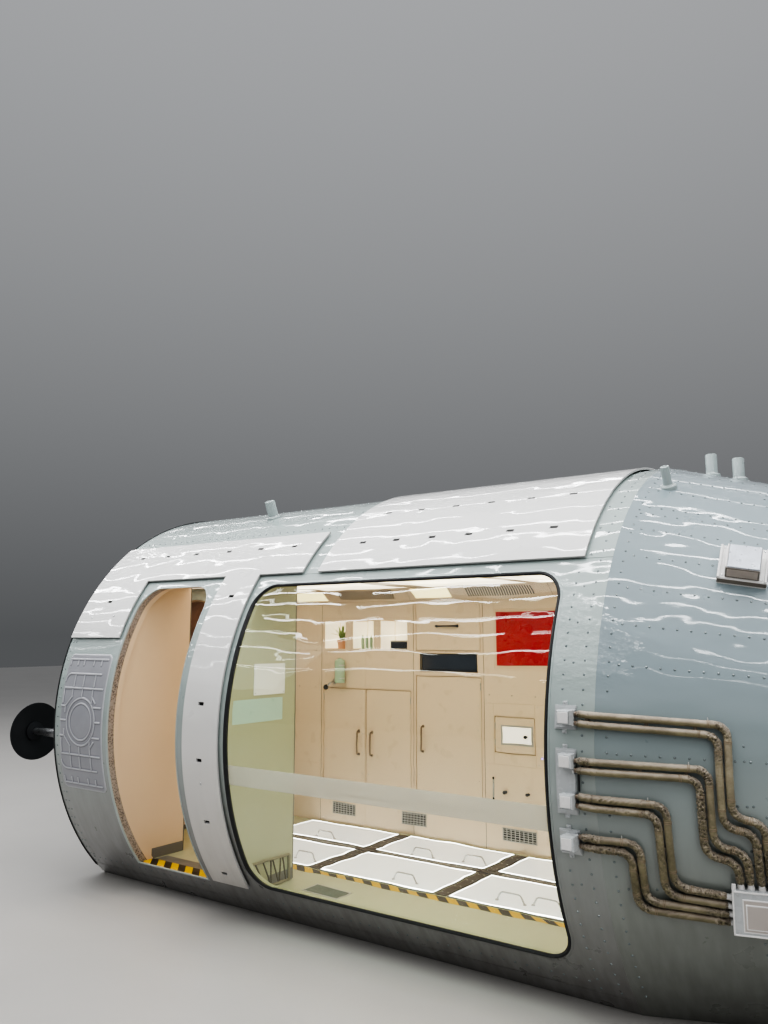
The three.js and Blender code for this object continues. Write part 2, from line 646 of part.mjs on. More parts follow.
// Short posts on the crown
const posts = [
  // X, angle, height, radius, flange radius
  [-832, 66.9, 136, 38, 52],
  [2145, 62, 121, 24, 43],
  [2195, 90, 138, 34, 50],
  [2348, 90, 138, 34, 50],
];
const POST = { sunk: 60, flange: 16, sides: 16 };
posts.forEach(([x, angle, height, radius, flangeRadius], index) => {
  const frame = standingAt(x, angle, coneRadius(x));
  const forms = [
    [radius, height],
    [flangeRadius, POST.flange],
  ].map(([r, top]) => {
    const geometry = new THREE.CylinderGeometry(r, r, top + POST.sunk, POST.sides);
    geometry.rotateX(Math.PI / 2);
    geometry.translate(0, 0, (top - POST.sunk) / 2);
    return toSolid(geometry.applyMatrix4(frame));
  });
  const barrel = disc(RADIUS + GAP, [-BARREL_HALF, BARREL_HALF + GAP]);
  addPart(`post_${index + 1}`, clearOfCone(unite(forms).subtract(barrel)), panelPaint);
});

// Dishes at the left end, each on a tapered stem
const DISH = { y: 1408, z: 1010, x: -2546, radius: 214, rim: 10, depth: 34, stemThin: 23, stemThick: 52 };
for (const [name, side] of [["aft_dish_near", -1], ["aft_dish_far", 1]]) {
  const stemEnd = -BARREL_HALF - GAP;
  const profile = [
    [0, 0],
    [DISH.stemThick, 0],
    [DISH.stemThin, stemEnd - DISH.x],
    [DISH.stemThin + 34, stemEnd - DISH.x],
    [DISH.radius, stemEnd - DISH.x + DISH.depth],
    [DISH.radius, stemEnd - DISH.x + DISH.depth + DISH.rim],
    [DISH.stemThin + 34, stemEnd - DISH.x + DISH.rim],
    [0, stemEnd - DISH.x + DISH.rim],
  ].map(([r, along]) => new THREE.Vector2(r, along));
  const geometry = new THREE.LatheGeometry(profile, 28);
  geometry.rotateZ(Math.PI / 2);
  geometry.translate(stemEnd, side * DISH.y, DISH.z);
  addPart(name, toSolid(geometry), blackRubber);
}

// Cabin deck with raised luminous fields
const cabinSpan = [-BARREL_HALF + WALL + GAP, BARREL_HALF - WALL - GAP];
const insideHull = disc(INNER - GAP, cabinSpan);
const deckPlate = box(cabinSpan, [-RADIUS, RADIUS], [WALL + GAP, DECK_TOP]).intersect(insideHull);
const fieldColumns = [[-1308, -405], [-305, 598], [698, 1601]];
const fieldRows = [[HATCHED_STRIP_BACK + 10, -130], [-50, 430]];
const fields = fieldColumns.flatMap((xSpan) =>
  fieldRows.map((ySpan) => box(xSpan, ySpan, [DECK_TOP - 10, DECK_TOP + FIELD_HEIGHT])),
);
addPart("cabin_deck", unite([deckPlate, ...fields]), deckGrey);

// Ceiling and the slanted cornice above the racks
const ceilingSlab = box(
  cabinSpan,
  [-RADIUS, RADIUS],
  [CEILING_BOTTOM, CEILING_BOTTOM + CEILING_THICKNESS],
).intersect(insideHull);
addPart("ceiling", ceilingSlab, creamPaint);
const corniceOutline = [
  [RACK_FRONT, RACK_TOP + GAP],
  [RACK_BACK, RACK_TOP + GAP],
  [RACK_BACK, CEILING_BOTTOM - GAP],
  [CORNICE_FRONT, CEILING_BOTTOM - GAP],
];
addPart("cornice", prismAlongX(corniceOutline, cabinSpan), creamPaint);

// Partitions beside the doorway
const partitions = [
  // name, left face X, free edge Y
  ["partition_aft", -1482, -880],
  ["partition_forward", -361, -933],
];
for (const [name, x, freeEdge] of partitions) {
  const wall = box(
    [x, x + PARTITION],
    [-RADIUS, freeEdge],
    [DECK_TOP + GAP, CEILING_BOTTOM - GAP],
  );
  addPart(name, wall.intersect(insideHull), creamPaint);
}

// Racks of the back wall, with pockets for the locker doors
const rackEdges = [cabinSpan[0], -1266, -306, 334, 1294, cabinSpan[1]];
const lockerDoors = [
  // rack, X span, Z span, hinge side, handle
  { rack: 2, x: [-1236, -794], z: [420, 1290], hinge: "left", handle: "upright" },
  { rack: 2, x: [-778, -336], z: [420, 1290], hinge: "right", handle: "upright" },
  { rack: 3, x: [-278, 306], z: [1622, 2000], hinge: "top", handle: "level" },
  { rack: 3, x: [-278, 306], z: [440, 1420], hinge: "right", handle: "upright" },
  { rack: 4, x: [424, 744], z: [880, 1138], hinge: "left", handle: "knob" },
  { rack: 5, x: [1322, 1910], z: [1622, 2000], hinge: "top", handle: "level" },
  { rack: 5, x: [1322, 1910], z: [440, 1420], hinge: "right", handle: "upright" },
];
const niches = [
  // rack, X span, Z span, depth
  { rack: 2, x: [-1240, -1000], z: [1616, 1870], depth: 220 },
  { rack: 2, x: [-930, -700], z: [1616, 1870], depth: 220 },
  { rack: 2, x: [-640, -360], z: [1616, 1870], depth: 220 },
  { rack: 3, x: [-236, 274], z: [1463, 1592], depth: 60 },
];
const LOCKER = { pocket: 24, ledge: 25, depth: 330 };
for (let rack = 1; rack < rackEdges.length; rack += 1) {
  const left = rackEdges[rack - 1] + (rack > 1 ? GAP : 0);
  const body = box([left, rackEdges[rack]], [RACK_FRONT, RACK_BACK], [DECK_TOP + GAP, RACK_TOP]);
  const pockets = lockerDoors
    .filter((door) => door.rack === rack)
    .flatMap(({ x: [x0, x1], z: [z0, z1] }) => [
      box(
        [x0 - DOOR_CLEARANCE, x1 + DOOR_CLEARANCE],
        [RACK_FRONT - 1, RACK_FRONT + LOCKER.pocket],
        [z0 - DOOR_CLEARANCE, z1 + DOOR_CLEARANCE],
      ),
      box(
        [x0 + LOCKER.ledge, x1 - LOCKER.ledge],
        [RACK_FRONT - 1, RACK_FRONT + LOCKER.depth],
        [z0 + LOCKER.ledge, z1 - LOCKER.ledge],
      ),
    ]);
  const recesses = niches
    .filter((niche) => niche.rack === rack)
    .map(({ x, z, depth }) => box(x, [RACK_FRONT - 1, RACK_FRONT + depth], z));
  addPart(`rack_${rack}`, cutAll(body, [...pockets, ...recesses]), creamPaint);
}

// Locker doors with their handles
const PULL = { length: 190, reach: 38, bar: 14, edge: 60 };
lockerDoors.forEach(({ x: [x0, x1], z: [z0, z1], hinge, handle }, index) => {
  const leaf = box([x0, x1], [RACK_FRONT, RACK_FRONT + DOOR_THICKNESS], [z0, z1]);
  const handleX = { left: x1 - PULL.edge, right: x0 + PULL.edge, top: (x0 + x1) / 2 }[hinge];
  const middleZ = (z0 + z1) / 2;
  const outer = RACK_FRONT - PULL.reach;
  const along = handle === "upright" ? [0, PULL.length / 2] : [PULL.length / 2, 0];
  const forms = [leaf];
  if (handle === "knob") {
    const half = PULL.bar;
    forms.push(
      box([handleX - half, handleX + half], [outer, RACK_FRONT + 1], [middleZ - half, middleZ + half]),
    );
  } else {
    const half = PULL.bar / 2;
    const [dx, dz] = along;
    forms.push(
      box(
        [handleX - dx - half, handleX + dx + half],
        [outer, outer + PULL.bar],
        [middleZ - dz - half, middleZ + dz + half],
      ),
    );
    for (const side of [-1, 1]) {
      const x = handleX + side * dx;
      const z = middleZ + side * dz;
      forms.push(box([x - half, x + half], [outer, RACK_FRONT + 1], [z - half, z + half]));
    }
  }
  addPart(`locker_door_${index + 1}`, unite(forms), creamPaint);
});

export default moduleGroup;
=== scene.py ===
# Looks of a walk-in space station module, built round its fixed frame.
# Sizes here are in millimetres and angles in degrees. Shape.make turns them into metres.
# +X runs along the barrel's axis towards the cone, -Y is the side with the doorway, +Z is up.
# An angle on the hull is 0 at the height of the axis on the near side and goes up over the crown.
import math
import random

import bmesh
import bpy
import numpy as np
from mathutils import Matrix, Vector, noise


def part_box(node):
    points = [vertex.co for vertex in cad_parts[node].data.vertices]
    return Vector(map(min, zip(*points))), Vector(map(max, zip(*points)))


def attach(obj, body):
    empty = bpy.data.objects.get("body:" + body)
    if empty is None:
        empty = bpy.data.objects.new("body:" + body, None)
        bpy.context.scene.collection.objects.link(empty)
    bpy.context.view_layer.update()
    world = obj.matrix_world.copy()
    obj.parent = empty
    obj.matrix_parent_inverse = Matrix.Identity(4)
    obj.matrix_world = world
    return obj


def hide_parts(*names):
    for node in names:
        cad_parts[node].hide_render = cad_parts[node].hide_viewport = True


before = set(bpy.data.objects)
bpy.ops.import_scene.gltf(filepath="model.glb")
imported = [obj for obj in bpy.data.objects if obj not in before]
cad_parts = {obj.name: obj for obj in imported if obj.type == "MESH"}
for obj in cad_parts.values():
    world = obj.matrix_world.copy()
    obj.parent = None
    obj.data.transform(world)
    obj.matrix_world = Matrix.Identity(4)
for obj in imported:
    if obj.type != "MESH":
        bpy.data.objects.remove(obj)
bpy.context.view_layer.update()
METRE = 1000.0


def node_box(name):
    """Lowest and highest corner of a frame node, in millimetres."""
    low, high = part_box(name)
    return low * METRE, high * METRE


# Driving sizes, read from the frame
near_low, near_high = node_box("barrel_near_side")
crown_high = node_box("barrel_crown")[1]
forward_low, forward_high = node_box("forward_section")
cone_high = node_box("cone_section")[1]
deck_high = node_box("cabin_deck")[1]
ceiling_low = node_box("ceiling")[0]
rack_low, rack_high = node_box("rack_3")
RADIUS = round(-near_low.y)
AXIS_Z = round(crown_high.z) - RADIUS
BARREL_HALF = round(near_high.x)
NARROW_RADIUS = round(forward_high.y)
CONE_END = cone_high.x
FORWARD_START = forward_low.x
FORWARD_END = forward_high.x
CONE_SLOPE = (RADIUS - NARROW_RADIUS) / (CONE_END - BARREL_HALF)
WALL = 60
INNER = RADIUS - WALL
FIELD_HEIGHT = 4
DECK_TOP = deck_high.z - FIELD_HEIGHT
CEILING = ceiling_low.z
WALL_FACE = rack_low.y  # front face of the racks
RACK_TOP = rack_high.z
CORNICE_FRONT = node_box("cornice")[0].y
GAP = 0.3

# Openings of the near side, in the plane of X and Z
DOOR = {"left": -1429, "right": -712, "bottom": 184, "top": 2079, "corner": 170, "low_corner": 1}
WINDOW = {"left": -306, "right": 1806, "bottom": 219, "top": 2072, "corner": 165, "low_corner": 165}
GASKET_WIDTH = 30
SEAL = {"out": 0.3, "rim": 10.5, "in": 29.8, "deep": 24}
LINER_THICKNESS = 8
PANE = {"outer": RADIUS - 8, "inner": RADIUS - 20, "inset": 22}
SIDE_ANGLES = (-41.25, 37.5)
ROW_START, ROW_TURN = 3.1, 7.05  # first rivet row above the axis height, and the angle between rows
CAMERA_PLACE = (3.438, -5.167, 1.740)
CAMERA_LENS = 28.98
CAMERA_PITCH = 8.51
CAMERA_TURN = 35.58


# Node materials
def node(look, kind, values=None, **settings):
    """Adds a shader node. A value is a number, a colour or the socket that feeds it."""
    made = look.node_tree.nodes.new("ShaderNode" + kind)
    for key, value in settings.items():
        setattr(made, key, value)
    for key, value in (values or {}).items():
        if isinstance(value, bpy.types.NodeSocket):
            look.node_tree.links.new(value, made.inputs[key])
        else:
            made.inputs[key].default_value = value
    return made


def rgba(colour):
    return (*colour, 1.0)


def new_look(name, **values):
    """A material with a Principled shader, whose fixed values sit on its own sockets."""
    look = bpy.data.materials.new(name)
    look.use_nodes = True
    shader = look.node_tree.nodes["Principled BSDF"]
    for key, value in values.items():
        shader.inputs[key.replace("_", " ")].default_value = value
    return look, shader


def feed(look, shader, **sockets):
    for key, socket in sockets.items():
        look.node_tree.links.new(socket, shader.inputs[key.replace("_", " ")])


def place(look, stretch=(1, 1, 1)):
    """Object coordinates in metres, stretched by a factor along each axis."""
    coordinates = node(look, "TexCoord").outputs["Object"]
    if tuple(stretch) == (1, 1, 1):
        return coordinates
    return node(look, "Mapping", {"Vector": coordinates, "Scale": stretch}).outputs["Vector"]


def grain(look, scale, detail=3.0, stretch=(1, 1, 1), roughness=0.55, distortion=0.0):
    """Noise at a scale in turns per metre, as a socket from 0 to 1."""
    values = {
        "Vector": place(look, stretch),
        "Scale": scale,
        "Detail": detail,
        "Roughness": roughness,
        "Distortion": distortion,
    }
    return node(look, "TexNoise", values).outputs["Fac"]


def spread(look, socket, low, high, lowest, highest):
    """Maps low..high of a socket onto lowest..highest."""
    values = {
        "Value": socket,
        "From Min": low,
        "From Max": high,
        "To Min": lowest,
        "To Max": highest,
    }
    return node(look, "MapRange", values).outputs["Result"]


def mixed(look, share, first, second):
    """Two colours or sockets mixed by a share, a number or a socket."""
    made = look.node_tree.nodes.new("ShaderNodeMix")
    made.data_type = "RGBA"
    for place_in, value in ((0, share), (6, first), (7, second)):
        if isinstance(value, bpy.types.NodeSocket):
            look.node_tree.links.new(value, made.inputs[place_in])
        elif place_in == 0:
            made.inputs[0].default_value = value
        else:
            made.inputs[place_in].default_value = rgba(value)
    return made.outputs[2]


def maths(look, operation, first, second=0.0, third=0.0):
    made = node(look, "Math", operation=operation)
    for place_in, value in enumerate((first, second, third)):
        if isinstance(value, bpy.types.NodeSocket):
            look.node_tree.links.new(value, made.inputs[place_in])
        else:
            made.inputs[place_in].default_value = value
    return made.outputs["Value"]


def axes(look):
    """The X, Y and Z of the object coordinates as three sockets, in metres."""
    return node(look, "SeparateXYZ", {"Vector": place(look)}).outputs


def bumped(look, shader, heights):
    """Chains bumps from (height socket, distance in metres, strength) rows into the normal."""
    normal = None
    for height, distance, strength in heights:
        values = {"Height": height, "Distance": distance, "Strength": strength}
        if normal is not None:
            values["Normal"] = normal
        normal = node(look, "Bump", values).outputs["Normal"]
    feed(look, shader, Normal=normal)


def shaded(colour, factor):
    return tuple(min(1.0, channel * factor) for channel in colour)


def paint(
    name,
    colour,
    roughness=0.35,
    metallic=0.0,
    coat=0.0,
    mottle=0.05,
    mottle_scale=3.0,
    fine=900.0,
    bump=0.0001,
):
    """Painted, moulded or plain metal surface with mottled colour, uneven gloss and a fine grain."""
    look, shader = new_look(
        name, Metallic=metallic, Coat_Weight=coat, Coat_Roughness=0.08, Roughness=roughness
    )
    share = grain(look, mottle_scale, 5.0)
    base = mixed(look, share, shaded(colour, 1 - mottle), shaded(colour, 1 + mottle))
    smudge = spread(look, grain(look, mottle_scale * 3, 4.0), 0.3, 0.7, 0.85, 1.2)
    gloss = maths(look, "MULTIPLY", smudge, roughness)
    feed(look, shader, Base_Color=base, Roughness=gloss)
    bumped(look, shader, [(grain(look, fine, 2.0), bump, 0.5)])
    return look


def hull_angle(look):
    """Angle round the hull's axis in turns, 0 at the axis height on the near side."""
    along = axes(look)
    up = maths(look, "SUBTRACT", along["Z"], AXIS_Z / METRE)
    near = maths(look, "MULTIPLY", along["Y"], -1.0)
    return maths(look, "DIVIDE", maths(look, "ARCTAN2", up, near), 2 * math.pi)


def hull_paint(name, colour, low_reflection_colour, floor_shade_colour, wave, pillow):
    """Glossy paint on thin sheet that ripples between rivet rows, with painted floor reflection low down
    and painted shade in streaks near the floor.
    """
    look, shader = new_look(name, Coat_Weight=1.0, Coat_Roughness=0.02, Roughness=0.32)
    patches = grain(look, 1.3, 4.0, (0.6, 1, 1))
    base = mixed(look, patches, shaded(colour, 0.94), shaded(colour, 1.06))
    height = axes(look)["Z"]
    # painted floor reflection: below 1.6 m the colour turns to the low colour
    base = mixed(look, spread(look, height, 0.5, 1.6, 1.0, 0.0), base, low_reflection_colour)
    # painted shade near the floor: a dark colour that grows towards the floor, broken into streaks
    shade_streaks = grain(look, 7.0, 6.0, (3, 1, 0.35))
    low_down = spread(look, height, 0.05, 1.05, 0.92, 0.0)
    floor_shade = maths(look, "MULTIPLY", spread(look, shade_streaks, 0.35, 0.7, 0.7, 1.0), low_down)
    base = mixed(look, floor_shade, base, floor_shade_colour)
    gloss = spread(look, grain(look, 5.0, 5.0), 0.3, 0.7, 0.26, 0.4)
    feed(look, shader, Base_Color=base, Roughness=gloss)
    ripple = grain(look, 2.6, 1.5, (0.5, 1, 1), 0.5, 0.7)
    quilt = grain(look, 8.5, 1.0, (0.38, 1, 1), 0.4)
    # a few crinkled patches
    crinkle = grain(look, 34.0, 2.0, (0.6, 1, 1))
    patch = spread(look, grain(look, 1.15, 1.0, (0.8, 1, 1)), 0.62, 0.70, 0.0, 1.0)
    crinkled = maths(look, "MULTIPLY", crinkle, patch)
    peel = grain(look, 260.0, 1.0)
    rows = [
        (ripple, wave, 1.0),
        (quilt, wave * 0.34, 1.0),
        (crinkled, 0.0022, 1.0),
        (peel, 0.00004, 0.5),
    ]
    if pillow:
        turn = maths(look, "SUBTRACT", hull_angle(look), ROW_START / 360)
        row = maths(look, "COSINE", maths(look, "MULTIPLY", turn, 2 * math.pi * 360 / ROW_TURN))
        swell = spread(look, grain(look, 1.6, 1.0, (1.0, 0.3, 0.3)), 0.35, 0.65, 0.0, 1.0)
        rows.append((maths(look, "MULTIPLY", row, swell), pillow, 1.0))
    bumped(look, shader, rows)
    normal = shader.inputs["Normal"].links[0].from_socket
    feed(look, shader, Coat_Normal=normal)
    return look


def glass_look():
    """Clear glass that lets lamps shine straight through it."""
    look, shader = new_look(
        "window_glass",
        Base_Color=rgba((0.93, 0.98, 0.93)),
        Transmission_Weight=1.0,
        Roughness=0.0,
        IOR=1.45,
    )
    tree = look.node_tree
    output = tree.nodes["Material Output"]
    path = node(look, "LightPath")
    clear = node(look, "BsdfTransparent", {"Color": rgba((0.93, 0.97, 0.93))})
    blend = node(look, "MixShader", {"Fac": path.outputs["Is Shadow Ray"]})
    tree.links.new(shader.outputs["BSDF"], blend.inputs[1])
    tree.links.new(clear.outputs["BSDF"], blend.inputs[2])
    tree.links.new(blend.outputs["Shader"], output.inputs["Surface"])
    sag = grain(look, 2.0, 1.0, (0.6, 1, 1), 0.2)
    smear = grain(look, 9.0, 1.0, (0.3, 1, 1))
    bumped(look, shader, [(sag, 0.016, 1.0), (smear, 0.0014, 1.0)])
    return look


def film_look():
    """Frosted film with milky patches."""
    look, shader = new_look("frosted_film", Alpha=0.5, Roughness=0.55)
    base = mixed(look, grain(look, 6.0, 4.0), (0.66, 0.60, 0.56), (0.77, 0.70, 0.66))
    feed(look, shader, Base_Color=base)
    return look


def foil_look():
    """Worn printed foil: grey-brown flecks in bands, crumpled."""
    look, shader = new_look("door_foil", Metallic=0.35, Roughness=0.42)
    cells = node(look, "TexVoronoi", {"Vector": place(look), "Scale": 90.0}, feature="F1")
    flecks = spread(look, cells.outputs["Distance"], 0.15, 0.6, 0.0, 1.0)
    base = mixed(look, flecks, (0.085, 0.068, 0.058), (0.36, 0.31, 0.275))
    base = mixed(look, spread(look, grain(look, 9.0, 6.0), 0.4, 0.7, 0.0, 0.5), base, (0.42, 0.38, 0.35))
    feed(look, shader, Base_Color=base)
    bumped(look, shader, [(cells.outputs["Distance"], 0.002, 0.8), (grain(look, 30.0, 5.0), 0.003, 0.6)])
    return look


def wrap_look(name, worked):
    """Cloth tape wound round a hose, with painted light: a pale lit tan on top, olive painted reflection on
    the sides, painted shade in its creases and painted highlight on its ridges. The worked kind is deeply
    creased, with painted shade and highlight along its folds.
    """
    look, shader = new_look(name, Roughness=0.55, Sheen_Weight=0.15, Sheen_Roughness=0.4)
    stain = spread(look, grain(look, 14.0, 6.0), 0.3, 0.7, 0.0, 1.0)
    tan = mixed(look, stain, (0.27, 0.225, 0.175), (0.43, 0.37, 0.295))
    olive = mixed(look, stain, (0.15, 0.132, 0.075), (0.26, 0.23, 0.135))
    # painted light: faces that look up are a pale lit tan, faces that look sideways an olive painted
    # reflection
    normal = node(look, "NewGeometry").outputs["Normal"]
    facing_up = node(look, "SeparateXYZ", {"Vector": normal}).outputs["Z"]
    base = mixed(look, spread(look, facing_up, -0.2, 0.4, 0.0, 1.0), olive, tan)
    pointed = node(look, "NewGeometry").outputs["Pointiness"]
    # painted shade in the hollow creases and painted highlight on the ridges
    base = mixed(look, spread(look, pointed, 0.46, 0.52, 0.9, 0.0), base, (0.03, 0.022, 0.012))
    base = mixed(look, spread(look, pointed, 0.54, 0.6, 0.0, 0.7), base, (0.60, 0.52, 0.41))
    heights = [(grain(look, 110.0, 4.0), 0.0012, 0.6)]
    if worked:
        away = maths(look, "ABSOLUTE", maths(look, "SUBTRACT", grain(look, 40.0, 3.0, distortion=1.2), 0.5))
        # painted shade along the fold lines and painted highlight beside them
        base = mixed(look, spread(look, away, 0.0, 0.045, 0.5, 0.0), base, (0.04, 0.03, 0.02))
        base = mixed(look, spread(look, away, 0.10, 0.17, 0.0, 0.35), base, (0.55, 0.48, 0.39))
        heights.append((spread(look, away, 0.0, 0.14, 0.0, 1.0), 0.0035, 1.0))
    feed(look, shader, Base_Color=base)
    bumped(look, shader, heights)
    return look


def relief_look():
    """Vacuum-formed lavender-grey plastic sheet, with painted shade in the hollows of its strokes and
    painted highlight on their ridges.
    """
    look, shader = new_look("relief_plastic", Roughness=0.36, Coat_Weight=0.25, Coat_Roughness=0.2)
    base = mixed(look, grain(look, 8.0, 5.0), (0.27, 0.275, 0.30), (0.345, 0.35, 0.38))
    pointed = node(look, "NewGeometry").outputs["Pointiness"]
    # painted shade in the hollows beside the strokes and painted highlight on their ridges
    base = mixed(look, spread(look, pointed, 0.47, 0.495, 0.75, 0.0), base, (0.13, 0.13, 0.15))
    base = mixed(look, spread(look, pointed, 0.505, 0.53, 0.0, 0.8), base, (0.52, 0.53, 0.56))
    feed(look, shader, Base_Color=base)
    bumped(look, shader, [(grain(look, 24.0, 3.0), 0.0012, 0.5), (grain(look, 700.0, 2.0), 0.0001, 0.4)])
    return look


def glowing(name, colour, strength):
    """A lit diffuser: an even glow with faint cloudiness."""
    look, shader = new_look(name, Roughness=0.25, Emission_Strength=strength, Specular_IOR_Level=0.5)
    tone = mixed(look, grain(look, 2.5, 3.0), shaded(colour, 0.93), shaded(colour, 1.0))
    feed(look, shader, Base_Color=tone, Emission_Color=tone)
    return look


def stripe_look(name, first, second, period):
    """Slanting stripes of two colours with worn spots, a period in metres."""
    look, shader = new_look(name, Roughness=0.4)
    along = axes(look)
    slanted = maths(look, "ADD", along["X"], along["Y"])
    turn = maths(look, "FRACT", maths(look, "DIVIDE", slanted, period))
    share = maths(look, "GREATER_THAN", turn, 0.5)
    base = mixed(look, share, first, second)
    worn = spread(look, grain(look, 60.0, 6.0), 0.62, 0.78, 0.0, 0.4)
    feed(look, shader, Base_Color=mixed(look, worn, base, (0.35, 0.32, 0.27)))
    bumped(look, shader, [(grain(look, 300.0, 2.0), 0.0002, 0.4)])
    return look


def brushed(name, colour, roughness):
    """Metal with fine drawn lines."""
    look, shader = new_look(name, Metallic=1.0, Roughness=roughness)
    lines = grain(look, 24.0, 6.0, (1, 40, 40))
    base = mixed(look, lines, shaded(colour, 0.82), shaded(colour, 1.08))
    gloss = spread(look, lines, 0.3, 0.7, roughness * 0.7, roughness * 1.5)
    feed(look, shader, Base_Color=base, Roughness=gloss)
    bumped(look, shader, [(lines, 0.0002, 0.4)])
    return look


def screen_look():
    """Dark switched-off display with a faint blue cast."""
    look, shader = new_look("screen", Roughness=0.08, Coat_Weight=0.6)
    base = mixed(look, grain(look, 3.0, 2.0), (0.012, 0.017, 0.03), (0.04, 0.055, 0.09))
    feed(look, shader, Base_Color=base)
    return look


def leaf_look():
    look, shader = new_look("leaf", Roughness=0.45, Subsurface_Weight=0.1)
    veins = grain(look, 90.0, 3.0, (1, 1, 0.2))
    feed(look, shader, Base_Color=mixed(look, veins, (0.13, 0.29, 0.05), (0.36, 0.57, 0.13)))
    bumped(look, shader, [(veins, 0.0008, 0.5)])
    return look


def print_look():
    """Wall print: soft abstract bands of brown and dark red."""
    look, shader = new_look("wall_print", Roughness=0.5)
    bands = grain(look, 1.7, 5.0, (1, 1, 2.2), 0.6, 1.2)
    share = spread(look, bands, 0.35, 0.65, 0.0, 1.0)
    tone = mixed(look, share, (0.03, 0.014, 0.011), (0.125, 0.065, 0.047))
    glow = spread(look, grain(look, 3.7, 3.0), 0.58, 0.7, 0.0, 0.5)
    feed(look, shader, Base_Color=mixed(look, glow, tone, (0.30, 0.19, 0.13)))
    return look


HULL_PAINTS = {
    # name: colour, colour low down as painted floor reflection, colour of the painted shade near the floor,
    # height of the ripple and of the pillows in metres
    "hull_paint": ((0.35, 0.415, 0.405), (0.31, 0.335, 0.32), (0.094, 0.080, 0.078), 0.012, 0.0010),
    "cone_paint": ((0.235, 0.295, 0.32), (0.305, 0.335, 0.305), (0.102, 0.102, 0.092), 0.012, 0.0012),
    "shield_paint": ((0.70, 0.70, 0.69), (0.66, 0.64, 0.61), (0.42, 0.40, 0.37), 0.010, 0.0),
}
HULL, CONE, SHIELD = [hull_paint(name, *row) for name, row in HULL_PAINTS.items()]
INSIDE = paint("hull_lining", (0.56, 0.46, 0.33), 0.55)
CREAM = paint("cabin_paint", (0.76, 0.60, 0.43), 0.38, coat=0.3, mottle=0.03)
CREAM_DOOR = paint("locker_paint", (0.80, 0.65, 0.48), 0.3, coat=0.4, mottle=0.03)
WARM = paint("partition_laminate", (0.68, 0.52, 0.35), 0.42, mottle=0.04)
PALE = paint("pale_laminate", (0.41, 0.42, 0.27), 0.35, coat=0.25, mottle=0.03)
DECK = paint("deck_finish", (0.46, 0.465, 0.30), 0.34, coat=0.3, mottle=0.01)
RUBBER = paint("black_rubber", (0.022, 0.023, 0.025), 0.55, mottle=0.2, bump=0.0003)
BLACK = paint("black_paint", (0.018, 0.019, 0.022), 0.42, mottle=0.25)
# near-black painted shade in the cornice grille slits and the cornice seams
SLIT_SHADE = paint("slit", (0.03, 0.026, 0.022), 0.6, mottle=0.1)
# near-black painted shade: under the shield sheets, behind the vent slats and in the seams between wall and
# ceiling panels; the small wall studs are drawn in it too
SHADE_BLACK = paint("painted_shade_black", (0.012, 0.013, 0.014), 0.7, mottle=0.2)
# grey box paint; on the connection boxes it is kept darker than the white lids as painted shade for depth,
# and the junction box body is this grey too
BOX = paint("box_plastic", (0.47, 0.49, 0.50), 0.26, coat=0.5, mottle=0.05, mottle_scale=8)
# grey for the edges of the white shield sheets: painted shade on the sheet's edge
SHIELD_EDGE_SHADE = paint("shield_edge_shade", (0.46, 0.46, 0.46), 0.45, mottle=0.15)
BEIGE = paint("beige_panel", (0.44, 0.40, 0.37), 0.35, coat=0.3, mottle=0.05, mottle_scale=9)
LID = paint("lid_plastic", (0.74, 0.73, 0.72), 0.28, coat=0.5, mottle=0.04, mottle_scale=8)
FIXING = paint("painted_fixing", (0.37, 0.43, 0.43), 0.3, coat=0.5, mottle=0.08)
# a darker copy of the hull paint: painted shade on the rivet heads
SHADED_RIVET = paint("shaded_rivet_head", (0.21, 0.25, 0.255), 0.22, metallic=0.2, coat=0.8, mottle=0.15)
STEEL = brushed("brushed_steel", (0.62, 0.63, 0.64), 0.28)
STREAKED = paint(
    "streaked_bronze", (0.52, 0.44, 0.385), 0.35, metallic=0.1, coat=0.4, mottle=0.3, mottle_scale=14
)
CORD = paint("tie_cord", (0.27, 0.215, 0.15), 0.6, mottle=0.2, mottle_scale=30)
MOTTLED = paint("mottled_silver", (0.50, 0.53, 0.58), 0.3, metallic=0.5, mottle=0.3, mottle_scale=13)
FRAME_GREY = paint("grey_brown_edge", (0.20, 0.175, 0.15), 0.45, mottle=0.2, mottle_scale=12)
BRONZE = paint("bronzed_metal", (0.30, 0.24, 0.19), 0.38, metallic=0.7, mottle=0.15)
OLIVE_FRAME = paint("grille_frame", (0.24, 0.225, 0.145), 0.4, metallic=0.2, mottle=0.2)
OLIVE_METAL = paint("grille_metal", (0.13, 0.115, 0.075), 0.4, metallic=0.3, mottle=0.2)
DIVIDER = paint("deck_divider", (0.045, 0.034, 0.026), 0.42, mottle=0.3, mottle_scale=5)
RAIL = paint("deck_rail", (0.17, 0.165, 0.15), 0.35, mottle=0.1)
VENT = paint("vent_metal", (0.46, 0.45, 0.42), 0.4, metallic=0.3, mottle=0.06)
SOCKET = paint("socket_plate", (0.085, 0.115, 0.10), 0.35, mottle=0.3, mottle_scale=14)
RED = paint("red_panel", (0.46, 0.006, 0.008), 0.28, coat=0.5, mottle=0.06)
TEAL = paint("teal_film", (0.44, 0.60, 0.50), 0.3, mottle=0.05)
PAPER = paint("notice_plate", (0.80, 0.80, 0.76), 0.32, mottle=0.02)
KNOB = paint("black_knob", (0.014, 0.014, 0.016), 0.25, coat=0.3, mottle=0.2)
POT = paint("terracotta", (0.80, 0.46, 0.28), 0.6, mottle=0.1, mottle_scale=20)
SOIL = paint("soil", (0.05, 0.03, 0.02), 0.9, mottle=0.4, mottle_scale=60, bump=0.002)
FABRIC_BIN = paint("storage_bin", (0.30, 0.34, 0.40), 0.85, mottle=0.08, fine=500, bump=0.0006)
GREEN = paint("green_bottle", (0.42, 0.58, 0.42), 0.25, coat=0.4)
GLASS = glass_look()
FILM = film_look()
FOIL = foil_look()
WRAP = wrap_look("hose_wrap", False)
